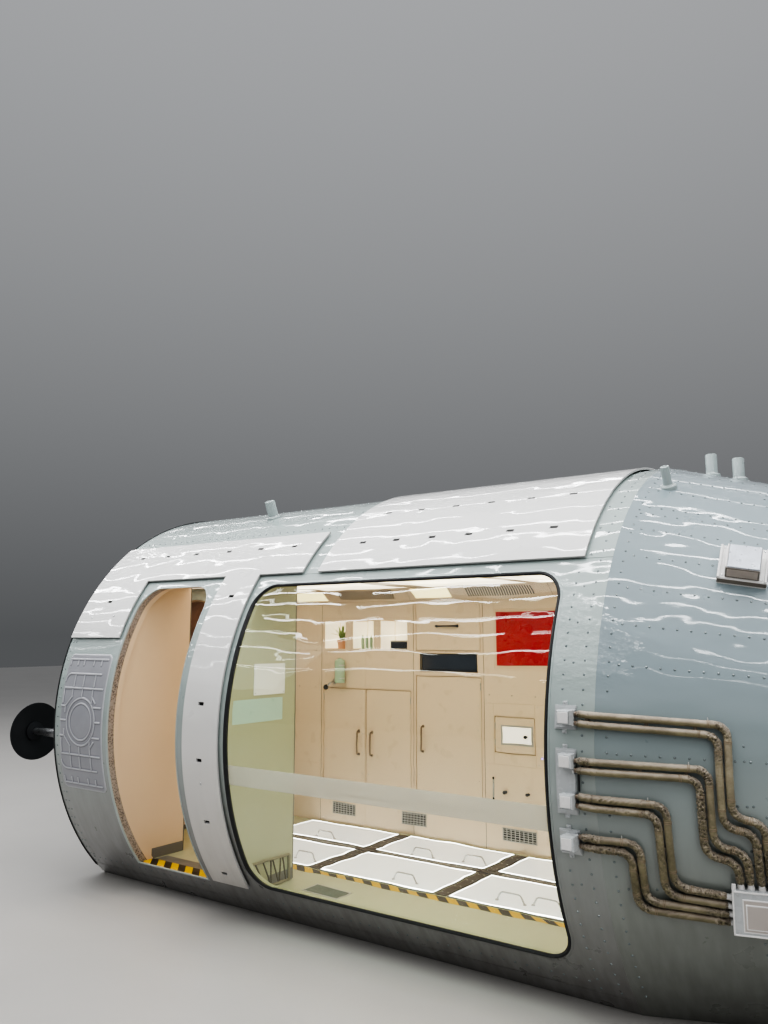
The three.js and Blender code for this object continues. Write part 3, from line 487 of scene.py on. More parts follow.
WRAP_WORKED = wrap_look("hose_wrap_creased", True)
RELIEF = relief_look()
FLOOR_LIGHT = glowing("floor_light", (0.93, 0.95, 1.0), 0.42)
FLOOR_EDGE = glowing("floor_light_edge", (1.0, 1.0, 1.0), 6.0)
CEILING_LIGHT = glowing("ceiling_light", (1.0, 0.90, 0.76), 0.7)
CORNICE_LIGHT = glowing("cornice_light", (1.0, 0.86, 0.44), 1.7)
NICHE_LIGHT = glowing("niche_light", (1.0, 0.90, 0.70), 0.9)
PANE_LIGHT = glowing("pane_light", (1.0, 0.93, 0.83), 0.8)
PURPLE = glowing("indicator_lamp", (0.35, 0.22, 1.0), 4.0)
HAZARD = stripe_look("hazard_tape", (0.66, 0.42, 0.0), (0.014, 0.012, 0.01), 0.14)
SCREEN = screen_look()
LEAF = leaf_look()
PRINT = print_look()


# Mesh building
class Shape:
    """Gathers points and faces, and becomes one mesh object."""

    def __init__(self):
        self.points = []
        self.count = 0
        self.faces = []
        self.looks = []

    def add(self, points, faces, look=0, matrix=None):
        points = np.asarray(points, float).reshape(-1, 3)
        if matrix is not None:
            turn = np.array(matrix, float)
            points = points @ turn[:3, :3].T + turn[:3, 3]
        self.points.append(points)
        self.faces.extend([tuple(self.count + i for i in face) for face in faces])
        self.looks.extend([look] * len(faces))
        self.count += len(points)

    def make(self, name, looks, body="module", replaces=(), slot=None, bevel=0.0, smooth=35):
        mesh = bpy.data.meshes.new(name)
        mesh.from_pydata(np.concatenate(self.points) / METRE, [], self.faces)
        mesh.polygons.foreach_set("material_index", self.looks)
        face_out(mesh)
        mesh.polygons.foreach_set("use_smooth", [True] * len(self.faces))
        mesh.set_sharp_from_angle(angle=math.radians(smooth))
        for look in looks:
            mesh.materials.append(look)
        piece = bpy.data.objects.new(name, mesh)
        bpy.context.scene.collection.objects.link(piece)
        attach(piece, body)
        if replaces:
            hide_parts(*replaces)
        if bevel:
            soften(piece, bevel)
        return piece


def face_out(mesh):
    """Turns every closed body's faces outwards."""
    loose = bmesh.new()
    loose.from_mesh(mesh)
    bmesh.ops.recalc_face_normals(loose, faces=loose.faces)
    loose.to_mesh(mesh)
    loose.free()


def soften(piece, width):
    """Rounds the sharp edges of a piece by a width in millimetres."""
    edges = piece.modifiers.new("edges", "BEVEL")
    edges.width = width / METRE
    edges.segments = 2
    edges.limit_method = "ANGLE"
    edges.angle_limit = math.radians(40)
    edges.harden_normals = True


def grid_faces(rows, columns, close_rows=False, close_columns=False):
    """Quads over a grid of points stored row by row."""
    faces = []
    for i in range(rows if close_rows else rows - 1):
        for j in range(columns if close_columns else columns - 1):
            a, b = i % rows, (i + 1) % rows
            c, d = j % columns, (j + 1) % columns
            faces.append((a * columns + c, a * columns + d, b * columns + d, b * columns + c))
    return faces


def add_grid(shape, points, look=0, close_rows=False, close_columns=False, caps=False, matrix=None):
    """A grid of points as quads, with its first and last row closed where caps is true."""
    points = np.asarray(points, float)
    rows, columns = points.shape[:2]
    faces = grid_faces(rows, columns, close_rows, close_columns)
    if caps:
        faces.append(tuple(range(columns))[::-1])
        faces.append(tuple(range((rows - 1) * columns, rows * columns)))
    shape.add(points, faces, look, matrix)


CORNERS = [(x, y, z) for x in (-1, 1) for y in (-1, 1) for z in (-1, 1)]


def box_faces():
    """Faces of a box whose corners are cut: point 3 * corner + axis lies on that axis's side."""
    faces = []
    for axis in range(3):
        for side in (-1, 1):
            ring = [i for i, corner in enumerate(CORNERS) if corner[axis] == side]
            faces.append([3 * i + axis for i in ring])
    for first in range(3):
        for second in range(first + 1, 3):
            for a in (-1, 1):
                for b in (-1, 1):
                    ends = [i for i, c in enumerate(CORNERS) if c[first] == a and c[second] == b]
                    faces.append([3 * i + axis for i in ends for axis in (first, second)])
    faces.extend([[3 * i, 3 * i + 1, 3 * i + 2] for i in range(len(CORNERS))])
    return faces


def box_points(half, cut):
    points = []
    for corner in CORNERS:
        for axis in range(3):
            sizes_here = [h if i == axis else h - cut for i, h in enumerate(half)]
            points.append([c * h for c, h in zip(corner, sizes_here)])
    return np.array(points)


def ordered(points, face):
    """A convex face's points in turn, seen from outside a box round the origin."""
    rows = points[face]
    middle = rows.mean(0)
    normal = np.cross(rows[1] - rows[0], rows[2] - rows[0])
    normal *= np.sign(normal @ middle)
    reach = rows - middle
    first = reach[0]
    second = np.cross(normal, first)
    turn = np.arctan2(reach @ second / np.linalg.norm(second), reach @ first / np.linalg.norm(first))
    return tuple(np.array(face)[np.argsort(turn)])


UNIT_CUT = 0.2
BOX_FACES = [ordered(box_points((1, 1, 1), UNIT_CUT), face) for face in box_faces()]


def add_box(shape, x, y, z, look=0, cut=None, matrix=None):
    """A box between two values on each axis, with cut edges."""
    spans = np.array([x, y, z], float)
    half = (spans[:, 1] - spans[:, 0]) / 2
    if cut is None:
        cut = min(2.0, half.min() * 0.4)
    cut = min(cut, half.min() * 0.9)
    shape.add(box_points(half, cut) + spans.mean(1), BOX_FACES, look, matrix)


def level_ring(radius, sides, height):
    """A circle of points about Z at a height."""
    turn = np.arange(sides) * 2 * np.pi / sides
    return np.stack([radius * np.cos(turn), radius * np.sin(turn), np.full(sides, height)], -1)


def add_turned(shape, profile, sides=32, look=0, matrix=None):
    """A profile of (radius, height) turned about Z. Its ends close on the axis."""
    rows = [level_ring(max(radius, 0.001), sides, height) for radius, height in profile]
    add_grid(shape, rows, look, close_columns=True, caps=True, matrix=matrix)


def shift(x, y, z):
    return Matrix.Translation((x, y, z))


def spin(degrees, axis="Z"):
    return Matrix.Rotation(math.radians(degrees), 4, axis)


def along_path(path):
    """Unit tangents and two square directions at each point of a path."""
    path = np.asarray(path, float)
    tangents = np.gradient(path, axis=0)
    tangents /= np.linalg.norm(tangents, axis=1)[:, None]
    side = np.cross(tangents[0], (0.3, 0.2, 1.0))
    sides = []
    for tangent in tangents:
        side = side - tangent * (side @ tangent)
        side = side / np.linalg.norm(side)
        sides.append(side)
    sides = np.array(sides)
    return tangents, sides, np.cross(tangents, sides)


def add_rod(shape, path, radius, sides=10, look=0, matrix=None):
    """A round bar along a path. The radius is a number, or a grid with a row for each point."""
    path = np.asarray(path, float)
    _, first, second = along_path(path)
    turn = np.arange(sides) * 2 * np.pi / sides
    radii = np.broadcast_to(np.asarray(radius, float), (len(path), sides))
    ring = radii[..., None] * (
        np.cos(turn)[None, :, None] * first[:, None, :] + np.sin(turn)[None, :, None] * second[:, None, :]
    )
    add_grid(shape, path[:, None, :] + ring, look, close_columns=True, caps=True, matrix=matrix)


def rounded_path(corners, bend, steps=6, spacing=None):
    """A polyline with rounded corners. With spacing, points follow at that distance."""
    corners = [np.array(c, float) for c in corners]
    points = [corners[0]]
    for i in range(1, len(corners) - 1):
        here = corners[i]
        back = corners[i - 1] - here
        ahead = corners[i + 1] - here
        start = here + back / np.linalg.norm(back) * bend
        end = here + ahead / np.linalg.norm(ahead) * bend
        for step in range(steps + 1):
            t = step / steps
            points.append((1 - t) ** 2 * start + 2 * t * (1 - t) * here + t * t * end)
    points.append(corners[-1])
    points = np.array(points)
    if spacing is None:
        return points
    lengths = np.concatenate([[0], np.cumsum(np.linalg.norm(np.diff(points, axis=0), axis=1))])
    even = np.linspace(0, lengths[-1], max(2, int(lengths[-1] / spacing)))
    return np.stack([np.interp(even, lengths, points[:, k]) for k in range(points.shape[1])], -1)


# The hull's surface
def skin_radius(x):
    return np.clip(RADIUS - CONE_SLOPE * (np.asarray(x, float) - BARREL_HALF), NARROW_RADIUS, RADIUS)


def on_hull(x, angle, lift=0.0):
    """Points on the hull at X and an angle, lifted off the skin."""
    x, angle, lift = np.broadcast_arrays(np.asarray(x, float), np.radians(angle), lift)
    r = skin_radius(x) + lift
    return np.stack([x, -r * np.cos(angle), AXIS_Z + r * np.sin(angle)], -1)


def at_height(x, z, lift=0.0):
    """Points on the hull's near side at X and a height."""
    x, z, lift = np.broadcast_arrays(np.asarray(x, float), np.asarray(z, float), lift)
    r = skin_radius(x) + lift
    return np.stack([x, -np.sqrt(r * r - (z - AXIS_Z) ** 2), z], -1)


def standing(x, angle, lift=0.0, turn=0.0):
    """Frame that stands on the hull: Z away from the axis, X along the hull, Y up round it."""
    slope = CONE_SLOPE if BARREL_HALF < x < CONE_END else 0.0
    a = math.radians(angle)
    outward = Vector((slope, -math.cos(a), math.sin(a))).normalized()
    upward = Vector((0, math.sin(a), math.cos(a)))
    forward = upward.cross(outward)
    rows = Matrix((forward, upward, outward)).transposed().to_4x4()
    foot = on_hull(x, angle, lift)
    return shift(*foot) @ rows @ spin(turn)


def radial_normals(mesh, slope=0.0):
    """Faces that follow the hull get normals square to its true curve, the others stay flat."""
    co = np.zeros(len(mesh.vertices) * 3)
    mesh.vertices.foreach_get("co", co)
    co = co.reshape(-1, 3)
    loop_vertex = np.zeros(len(mesh.loops), int)
    mesh.loops.foreach_get("vertex_index", loop_vertex)
    flat = np.zeros(len(mesh.polygons) * 3)
    mesh.polygons.foreach_get("normal", flat)
    totals = np.zeros(len(mesh.polygons), int)
    mesh.polygons.foreach_get("loop_total", totals)
    flat = np.repeat(flat.reshape(-1, 3), totals, axis=0)
    rays = co[loop_vertex]
    rays[:, 2] -= AXIS_Z / METRE
    rays[:, 0] = slope * np.linalg.norm(rays[:, 1:], axis=1)
    rays /= np.linalg.norm(rays, axis=1)[:, None]
    facing = (rays * flat).sum(1)
    follows = np.abs(facing) > 0.97
    normals = np.where(follows[:, None], rays * np.sign(facing)[:, None], flat)
    mesh.normals_split_custom_set(normals)


def add_masked(shape, top, under, there, look=0, edge_look=None, closed=True):
    """The cells of a grid that are there, from its top points down to its under points."""
    rows, columns = top.shape[:2]
    points = np.concatenate([top.reshape(-1, 3), under.reshape(-1, 3)])
    lower = rows * columns
    padded = np.pad(there, 1)
    edge_look = look if edge_look is None else edge_look
    faces, edges = [], []
    for i, j in np.argwhere(there):
        a, b = i * columns + j, i * columns + j + 1
        d, c = (i + 1) * columns + j, (i + 1) * columns + j + 1
        faces.append((a, b, c, d))
        if closed:
            faces.append((lower + d, lower + c, lower + b, lower + a))
        for first, second, beside in (
            (a, b, padded[i, j + 1]),
            (b, c, padded[i + 1, j + 2]),
            (c, d, padded[i + 2, j + 1]),
            (d, a, padded[i + 1, j]),
        ):
            if not beside:
                edges.append((second, first, lower + first, lower + second))
    used = sorted({i for face in faces + edges for i in face})
    place_of = {old: new for new, old in enumerate(used)}
    renamed = [tuple(place_of[i] for i in face) for face in faces + edges]
    shape.add(points[used], renamed, look)
    shape.looks[len(shape.looks) - len(edges):] = [edge_look] * len(edges)


def add_cells(shape, xs, angles, keep, outer, inner, look=0, edge_look=None):
    """A curved plate of cells between X and angle breaks. keep tells which cells are there."""
    xs, angles = np.asarray(xs, float), np.asarray(angles, float)
    grid_x, grid_a = np.meshgrid(xs, angles)
    mid_x = (xs[1:] + xs[:-1]) / 2
    mid_a = (angles[1:] + angles[:-1]) / 2
    there = np.array([[keep(x, a) for x in mid_x] for a in mid_a], bool)
    top, under = on_hull(grid_x, grid_a, outer), on_hull(grid_x, grid_a, inner)
    add_masked(shape, top, under, there, look, edge_look)


def breaks(low, high, step, *extra):
    """Even breaks from low to high, with the extra values that lie between them."""
    count = max(1, round((high - low) / step))
    even = np.linspace(low, high, count + 1)
    marks = [m for m in extra if low < m < high]
    kept = [v for v in even[1:-1] if all(abs(v - m) > step * 0.2 for m in marks)]
    return np.unique(np.round([low, high, *kept, *marks], 4))


ARC = 0.9375  # width of a facet on the fine hull, in degrees


def baked(piece):
    """Applies the modifiers of a piece."""
    scene_state = bpy.context.evaluated_depsgraph_get()
    mesh = bpy.data.meshes.new_from_object(piece.evaluated_get(scene_state))
    piece.modifiers.clear()
    piece.data = mesh


CORNER_STEPS = 16  # steps round each corner of an opening
SIDE_STEP = 30.0  # distance between points along an opening's straight sides


def outline(opening, inset):
    """Points of a rounded opening in X and Z, drawn in by inset; every inset has as many points."""
    high = max(opening["corner"] - inset, 1)
    low = max(opening["low_corner"] - inset, 1)
    left, right = opening["left"] + inset, opening["right"] - inset
    bottom, top = opening["bottom"] + inset, opening["top"] - inset
    centres = [
        # X, Z, radius, start angle
        (right - high, top - high, high, 0),
        (left + high, top - high, high, 90),
        (left + low, bottom + low, low, 180),
        (right - low, bottom + low, low, 270),
    ]
    corners = []
    for x, z, radius, start in centres:
        turn = np.radians(start + 90 * np.arange(CORNER_STEPS + 1) / CORNER_STEPS)
        corners.append(np.stack([x + radius * np.cos(turn), z + radius * np.sin(turn)], -1))
    sides = [opening["right"] - opening["left"], opening["top"] - opening["bottom"]] * 2
    points = []
    for i, corner in enumerate(corners):
        points.extend(corner)
        count = int(sides[i] / SIDE_STEP)
        following = corners[(i + 1) % 4][0]
        for step in range(1, count):
            points.append(corner[-1] + (following - corner[-1]) * step / count)
    return np.array(points)


def near_side_points(flat, radius):
    """Points of X and Z put on the near side at a radius about the axis."""
    flat = np.asarray(flat, float)
    y = -np.sqrt(radius**2 - (flat[:, 1] - AXIS_Z) ** 2)
    return np.stack([flat[:, 0], y, flat[:, 1]], -1)


def opening_ring(shape, opening, profile, look=0):
    """Sweeps a profile of (inset, radius about the axis) round an opening."""
    rows = [near_side_points(outline(opening, inset), radius) for inset, radius in profile]
    add_grid(shape, np.array(rows).transpose(1, 0, 2), look, close_rows=True, close_columns=True)


def opening_cutter(opening):
    """A prism through the near wall, for cutting an opening."""
    shape = Shape()
    flat = outline(opening, 0)
    rows = [np.stack([flat[:, 0], np.full(len(flat), y), flat[:, 1]], -1) for y in (-RADIUS - 100, -900)]
    add_grid(shape, rows, close_columns=True, caps=True)
    return shape.make("cutter", [HULL])


def cut_out(piece, cutters):
    for cutter in cutters:
        cutting = piece.modifiers.new("cut", "BOOLEAN")
        cutting.operation = "DIFFERENCE"
        cutting.solver = "EXACT"
        cutting.object = cutter
    baked(piece)
    for cutter in cutters:
        bpy.data.objects.remove(cutter)


# Hull plates
BARREL_X = (-BARREL_HALF, BARREL_HALF)
SEAM = 0.06  # degrees, half of a visible seam between two plates


def finish_plate(piece, slope=0.0):
    """Lines the faces that look at the axis, and sets smooth normals."""
    mesh = piece.data
    for face in mesh.polygons:
        ray = Vector((0, face.center.y, face.center.z - AXIS_Z / METRE)).normalized()
        if face.normal.dot(ray) < -0.9:
            face.material_index = 1
    radial_normals(mesh, slope)


def hull_plate(name, angles, node_name):
    """A smooth plate of the barrel between two angles, as one closed body."""
    shape = Shape()
    turns = breaks(angles[0] + SEAM, angles[1] - SEAM, ARC)
    add_cells(shape, BARREL_X, turns, lambda x, a: True, 0, -WALL)
    return shape.make(name, [HULL, INSIDE], replaces=[node_name], slot="hull_paint")


def build_barrel():
    low, high = SIDE_ANGLES
    near = hull_plate("near_side_plate", (low, high), "barrel_near_side")
    cut_out(near, [opening_cutter(DOOR), opening_cutter(WINDOW)])
    far = hull_plate("far_side_plate", (180 - high, 180 - low), "barrel_far_side")
    crown = hull_plate("crown_plate", (high, 180 - high), "barrel_crown")
    for plate in (near, far, crown):
        finish_plate(plate)


def build_keel():
    """Bottom of the barrel: two short curved flanks and a flat floor plate."""
    start = SIDE_ANGLES[0] - SEAM
    outer_end = -math.degrees(math.asin(AXIS_Z / RADIUS))
    inner_end = -math.degrees(math.asin((AXIS_Z - WALL) / INNER))
    outer = on_hull(0, np.linspace(start, outer_end, 6))[:, 1:]
    inner = on_hull(0, np.linspace(inner_end, start, 6), -WALL)[:, 1:]
    half = np.concatenate([inner, outer])
    section = np.concatenate([half, (half * (-1, 1))[::-1]])
    rows = [np.column_stack([np.full(len(section), x), section]) for x in BARREL_X]
    shape = Shape()
    add_grid(shape, rows, close_columns=True, caps=True)
    finish_plate(shape.make("keel_plate", [HULL, INSIDE], replaces=["barrel_keel"], slot="hull_paint"))


FLAT_SHARE = 0.9999996  # keeps a full circle's two ends apart


def build_cone():
    """Cone and narrow forward section, smooth round the axis and cut flat where they meet the floor."""
    for name, span, steps, node_name, slope in (
        ("cone_skin", (BARREL_HALF + GAP, CONE_END), 20, "cone_section", CONE_SLOPE),
        ("forward_skin", (FORWARD_START, FORWARD_END), 2, "forward_section", 0.0),
    ):
        rows = []
        for x in np.linspace(*span, steps):
            share = min(FLAT_SHARE, AXIS_Z / float(skin_radius(x)))
            flat_angle = math.degrees(math.asin(share))
            rows.append(on_hull(x, np.linspace(-flat_angle, 180 + flat_angle, 361)))
        shape = Shape()
        add_grid(shape, rows, close_columns=True, caps=True)
        piece = shape.make(name, [CONE], replaces=[node_name], slot="cone_paint")
        radial_normals(piece.data, slope)


# Rivets
RIVET = {"radius": 6.3, "height": 3.4, "sides": 8, "foot": -0.5}
CONE_PITCH = 57.0
BARREL_PITCH = 64.0
ROW_ANGLES = [ROW_START + ROW_TURN * k for k in range(-3, 24)]
TURNS = np.arange(-40.0, 221.0, 2.4)
BARREL_RIVETS = [
    # X of the columns, angles of the rows
    ((1862, 1961), TURNS),
    ((1906,), ROW_ANGLES),
    ((-1985, -1948), [a for a in TURNS if not 20 < a < 160]),
    (np.arange(-1960, 140, BARREL_PITCH), (54.5, 63.0, 75.0, 90.0, 105.0, 117.0, 125.5)),
    (np.arange(-1390, 1840, BARREL_PITCH), (145.5, 166.0, 187.0, 208.0, 217.5)),
    ((-1380, -60, 1300), np.arange(146.0, 218.0, 2.4)),
    (np.arange(-1960, 1840, BARREL_PITCH), (-38.6,)),
]
ALONG_CONE = np.arange(2110, CONE_END - 40, CONE_PITCH)
CONE_RIVETS = [
    # X of the columns, angles of the rows
    (ALONG_CONE, ROW_ANGLES),
    (ALONG_CONE - CONE_PITCH / 2, (50.1, 129.9)),
    (np.arange(2554, CONE_END - 40, CONE_PITCH), (6.5, 173.5, -5.6)),
    ((2068, CONE_END - 60), TURNS),
    ((2600,), [a for a in TURNS if not 8 < a < 62]),
    ((FORWARD_START + 45, FORWARD_END - 45, FORWARD_START + 520), np.arange(0, 360, 3.3)),
    (np.arange(FORWARD_START + 110, FORWARD_END - 90, BARREL_PITCH), np.arange(-50, 231, 20.0)),
]
BARREL_TAKEN = [
    # X from and to, angle from and to: shields, relief plates and connection boxes, where no rivet goes
    (-2018, 45, 20, 52.5),
    (-2018, -1440, 128, 160),
    (-1965, -1455, -18, 18),
    (-1965, -1455, 162, 198),
    (145, 1895, 36, 144),
    (1825, 1945, -16, 12),
    (-700, -270, -41, 46),
    (-2018, 45, 127, 143),
]
CONE_TAKEN = [
    # X from and to, angle from and to: hoses, boxes, posts and the cradle
    (1935, 2720, 6.0, 10.6),
    (1935, 2640, -3.2, 2.4),
    (2230, 2500, -25.0, -2.6),
    (1935, 2500, -13.5, -9.0),
    (2455, 2700, 33, 44),
    (2480, 2830, -28, -14),
    (2095, 2195, 60, 64.5),
    (2140, 2400, 87.5, 92.5),
    (FORWARD_START + 200, FORWARD_END - 200, 232, 308),
]


def build_rivets(name, fields, taken, slot):
    """Low domes on the hull where columns and rows cross, outside of the taken fields."""
    radius, height = RIVET["radius"], RIVET["height"]
    dome = [(radius, RIVET["foot"]), (radius * 0.82, height * 0.6), (radius * 0.4, height)]
    shape = Shape()
    for x, angle in [(x, a) for columns, rows in fields for x in columns for a in rows]:
        if not any(x0 < x < x1 and a0 < angle < a1 for x0, x1, a0, a1 in taken):
            add_turned(shape, dome, RIVET["sides"], 0, standing(x, angle))
    # the rivets take the darker copy of the hull paint as painted shade
    shape.make(name, [SHADED_RIVET], slot=slot)


# Raised shield panels
SHIELD_TOP, SHIELD_UNDER, PAD_INSET = 22.0, 9.0, 46.0
BAND = {"x": (-2008, 35), "angles": (37.5, 51.4)}
LEG = {"x": (-2008, -1450), "angles": (21.0, 45.0)}
STRIP = {"x": (-640, -330), "angles": (-35.3, 45.0)}
OVERHEAD = {"x": (160, 1881), "angles": (37.4, 142.6)}
SLOT = {"length": 46, "width": 20}
STRIP_SLOTS = [(-486, a) for a in (31.5, 6.4, -5.5, -19.0, -32.0)]
BAND_SLOTS = [(x, 46.5) for x in (-1730, -1440, -1130, -795, -490, -185)] + [(-1741, 31.2)]
OVERHEAD_ROWS = [
    # angle, X of the row's slots
    (45.8, (390, 640, 893, 1137, 1397, 1654)),
    (58.4, (390, 640, 893, 1137, 1397, 1654)),
    (74.5, (319, 579, 830, 1127, 1381, 1630)),
]
SHIELD_SCREW = [(9, -1), (9, 1.2), (6, 2.4)]
SHIELD_SCREWS = [(-1857, 26.5), (-1607, 26.9), (-486, -10.6)]


def inside_any(x, angle, fields):
    return any(
        field["x"][0] < x < field["x"][1] and field["angles"][0] < angle < field["angles"][1]
        for field in fields
    )


def mirrored_places(places):
    return [(x, 180 - a) for x, a in places]


def mirrored_field(field):
    low, high = field["angles"]
    return {"x": field["x"], "angles": (180 - high, 180 - low)}


def build_shield(name, node_name, fields, slots, screws=()):
    """A thin curved sheet with slots cut in it, on a set-back pad painted near-black as the shadow under
    the sheet.
    """
    half_x = SLOT["length"] / 2
    half_a = math.degrees(SLOT["width"] / 2 / RADIUS)
    pad_turn = math.degrees(PAD_INSET / RADIUS)
    xs = [x for field in fields for x in field["x"]]
    turns = [a for field in fields for a in field["angles"]]

    def in_sheet(x, a):
        slotted = any(abs(x - sx) < half_x and abs(a - sa) < half_a for sx, sa in slots)
        return inside_any(x, a, fields) and not slotted

    def in_pad(x, a):
        around = [(x + dx, a + da) for dx in (-PAD_INSET, PAD_INSET) for da in (-pad_turn, pad_turn)]
        return all(inside_any(px, pa, fields) for px, pa in around)

    def cells(shape, x_marks, a_marks, facet, keep, outer, inner, edge_look=None):
        columns = breaks(min(xs), max(xs), 400, *x_marks)
        rows = breaks(min(turns), max(turns), facet, *a_marks)
        add_cells(shape, columns, rows, keep, outer, inner, edge_look=edge_look)

    slot_x = [x + s * half_x for x, _ in slots for s in (-1, 1)]
    slot_a = [a + s * half_a for _, a in slots for s in (-1, 1)]
    sheet = Shape()
    # the sheet's edges take the grey painted shade
    cells(sheet, xs + slot_x, turns + slot_a, ARC, in_sheet, SHIELD_TOP, SHIELD_UNDER, 2)
    for x, a in screws:
        add_turned(sheet, SHIELD_SCREW, 12, 1, standing(x, a, SHIELD_TOP))
    looks = [SHIELD, STEEL, SHIELD_EDGE_SHADE]
    sheet.make(name, looks, replaces=[node_name], slot="shield_paint", bevel=1.6)
    pad_x = [x + s * PAD_INSET for x in xs for s in (-1, 1)]
    pad_a = [a + s * pad_turn for a in turns for s in (-1, 1)]
    # the pad is near-black as painted shadow under the sheet
    pad = Shape()
    cells(pad, pad_x, pad_a, ARC * 2, in_pad, SHIELD_UNDER - 0.5, 0.8)
    pad.make(name + "_pad", [SHADE_BLACK])


def build_shields():
    door_slots = STRIP_SLOTS + BAND_SLOTS
    build_shield("door_shield", "shield_panel_door", [BAND, LEG, STRIP], door_slots, SHIELD_SCREWS)
    slots = [(x, a) for angle, row in OVERHEAD_ROWS for a in (angle, 180 - angle) for x in row]
    slots += [(x, 90.0) for x in OVERHEAD_ROWS[2][1]]
    build_shield("overhead_shield", "shield_panel_window", [OVERHEAD], slots)
    far_fields = [mirrored_field(BAND), mirrored_field(LEG)]
    far_screws = mirrored_places(SHIELD_SCREWS[:2])
    build_shield("far_shield", "shield_panel_far", far_fields, mirrored_places(BAND_SLOTS), far_screws)


# Pressed relief plates
RELIEF_X = (-1955, -1467)
RELIEF_HEIGHT = 930
RELIEF_STEP = 3.6
RELIEF_BASE = 5.0
RELIEF_FOOT = 0.4  # height of the plate's rim over the skin
RELIEF_EDGE = {"corner": 45.0, "slope": 9.0}
RELIEF_STROKE = {"width": 7.0, "depth": 5.0, "edge": 5.0}
RELIEF_LINES = [
    # half of the pattern, from the plate's middle: across and up, from and to, in millimetres
    ((-213, 425), (206, 425)),
    *[((u, 425), (u, 386)) for u in (-213, -128, -57, 57, 142)],
    ((-170, 325), (168, 325)),
    *[((u, 325), (u, 240)) for u in (-119, -14, 112)],
    ((-221, 226), (213, 226)),
    *[((u, 218), (u, 125)) for u in (-221, 108)],
    *[((u, 218), (u, 172)) for u in (-123, -11)],
    ((-238, 101), (-186, 101)),
    ((140, 101), (213, 101)),
    ((-186, 101), (-186, 60)),
    ((-120, 168), (-186, 101)),
    ((108, 172), (150, 130)),
]
RELIEF_TICKS = [((-238, 4), (-165, 4)), ((165, 4), (213, 4))]
RELIEF_ROUND = {"outer": 160, "inner": 124, "dome": 118, "dome_height": 3.0}
RELIEF_BEND = {"left": -170, "top": 325, "radius": 58.0}  # rounded corner of the pattern


def stroke_distance(u, v, line):
    (u0, v0), (u1, v1) = line
    length = (u1 - u0) ** 2 + (v1 - v0) ** 2
    t = np.clip(((u - u0) * (u1 - u0) + (v - v0) * (v1 - v0)) / length, 0, 1)
    return np.hypot(u - u0 - t * (u1 - u0), v - v0 - t * (v1 - v0))


def relief_height(u, v):
    """Height of the pressed pattern at a place on the plate."""
    up = np.abs(v)
    out = np.hypot(u, v)
    strokes = [stroke_distance(u, up, line) for line in RELIEF_LINES]
    strokes += [stroke_distance(u, v, line) for line in RELIEF_TICKS]
    strokes += [np.abs(out - RELIEF_ROUND[ring]) for ring in ("outer", "inner")]
    nearest = np.minimum.reduce(strokes)
    left, top, radius = [RELIEF_BEND[key] for key in ("left", "top", "radius")]
    low = top - radius
    bend = np.abs(np.hypot(u - left, up - low) - radius)
    nearest = np.where((u < left) & (up > low), np.minimum(nearest, bend), nearest)
    stroke = RELIEF_STROKE
    pressed = np.clip((stroke["width"] / 2 + stroke["edge"] - nearest) / stroke["edge"], 0, 1)
    pressed = pressed * pressed * (3 - 2 * pressed) * stroke["depth"]
    dome = np.clip(1 - (out / RELIEF_ROUND["dome"]) ** 2, 0, 1) ** 0.5 * RELIEF_ROUND["dome_height"]
    return RELIEF_BASE + pressed + dome


def build_relief(name, node_name, far):
    half = RELIEF_HEIGHT / 2
    middle = sum(RELIEF_X) / 2
    across = np.arange(RELIEF_X[0], RELIEF_X[1] + 0.1, RELIEF_STEP)
    up = np.arange(-half, half + 0.1, RELIEF_STEP)
    grid_u, grid_v = np.meshgrid(across - middle, up)
    reach = (RELIEF_X[1] - RELIEF_X[0]) / 2
    corner = RELIEF_EDGE["corner"]
    past_u = np.clip(np.abs(grid_u) - (reach - corner), 0, None)
    past_v = np.clip(np.abs(grid_v) - (half - corner), 0, None)
    inwards = corner - np.hypot(past_u, past_v)
    there = inwards > -1.0
    rim = np.clip(inwards / RELIEF_EDGE["slope"], 0, 1)
    risen = RELIEF_FOOT + (relief_height(grid_u, grid_v) - RELIEF_FOOT) * rim
    height = np.where(there, risen, RELIEF_FOOT)
    turn = np.degrees(np.arcsin(np.clip(grid_v / RADIUS, -1, 1)))
    turn = 180 - turn if far else turn
    top = on_hull(grid_u + middle, turn, height)
    under = on_hull(grid_u + middle, turn, 0.1)
    shape = Shape()
    whole = there[:-1, :-1] & there[1:, :-1] & there[:-1, 1:] & there[1:, 1:]
    add_masked(shape, top, under, whole, closed=False)
    shape.make(name, [RELIEF], replaces=[node_name], slot="relief_plastic", smooth=50)


# Fixings
BOLTS = {
    # kind: radius, height of the shoulder, radius and height of the top
    "dish": (4, 4, 2.5, 5),
    "plate": (8, 5, 5, 7),
    "collar": (11, 7, 8, 9),
    "lid": (10, 6, 7, 8),
}
FOOT_DEPTH = -1  # how deep a fixing starts under its surface


def add_bolt(shape, kind, matrix, look=0):
    radius, shoulder, tip, top = BOLTS[kind]
    add_turned(shape, [(radius, FOOT_DEPTH), (radius, shoulder), (tip, top)], 6, look, matrix)


def screw_head(shape, matrix, radius, look):
    profile = [(radius, -0.5), (radius, 1.4), (radius * 0.7, 2.4), (radius * 0.3, 2.4)]
    add_turned(shape, profile, 10, look, matrix)


def corner_screws(shape, xs, ys, matrix, radius, look):
    """Screws at every crossing of the local X and Y values."""
    for x in xs:
        for y in ys:
            screw_head(shape, matrix @ shift(x, y, 0), radius, look)


def facing(x, y, z, direction):
    """A frame with local Z along +X or -X."""
    return shift(x, y, z) @ spin(90 * direction, "Y")


def facing_near(x, y, z):
    """A frame with local Z towards -Y, local X along +X and local Y up."""
    return shift(x, y, z) @ spin(90, "X")


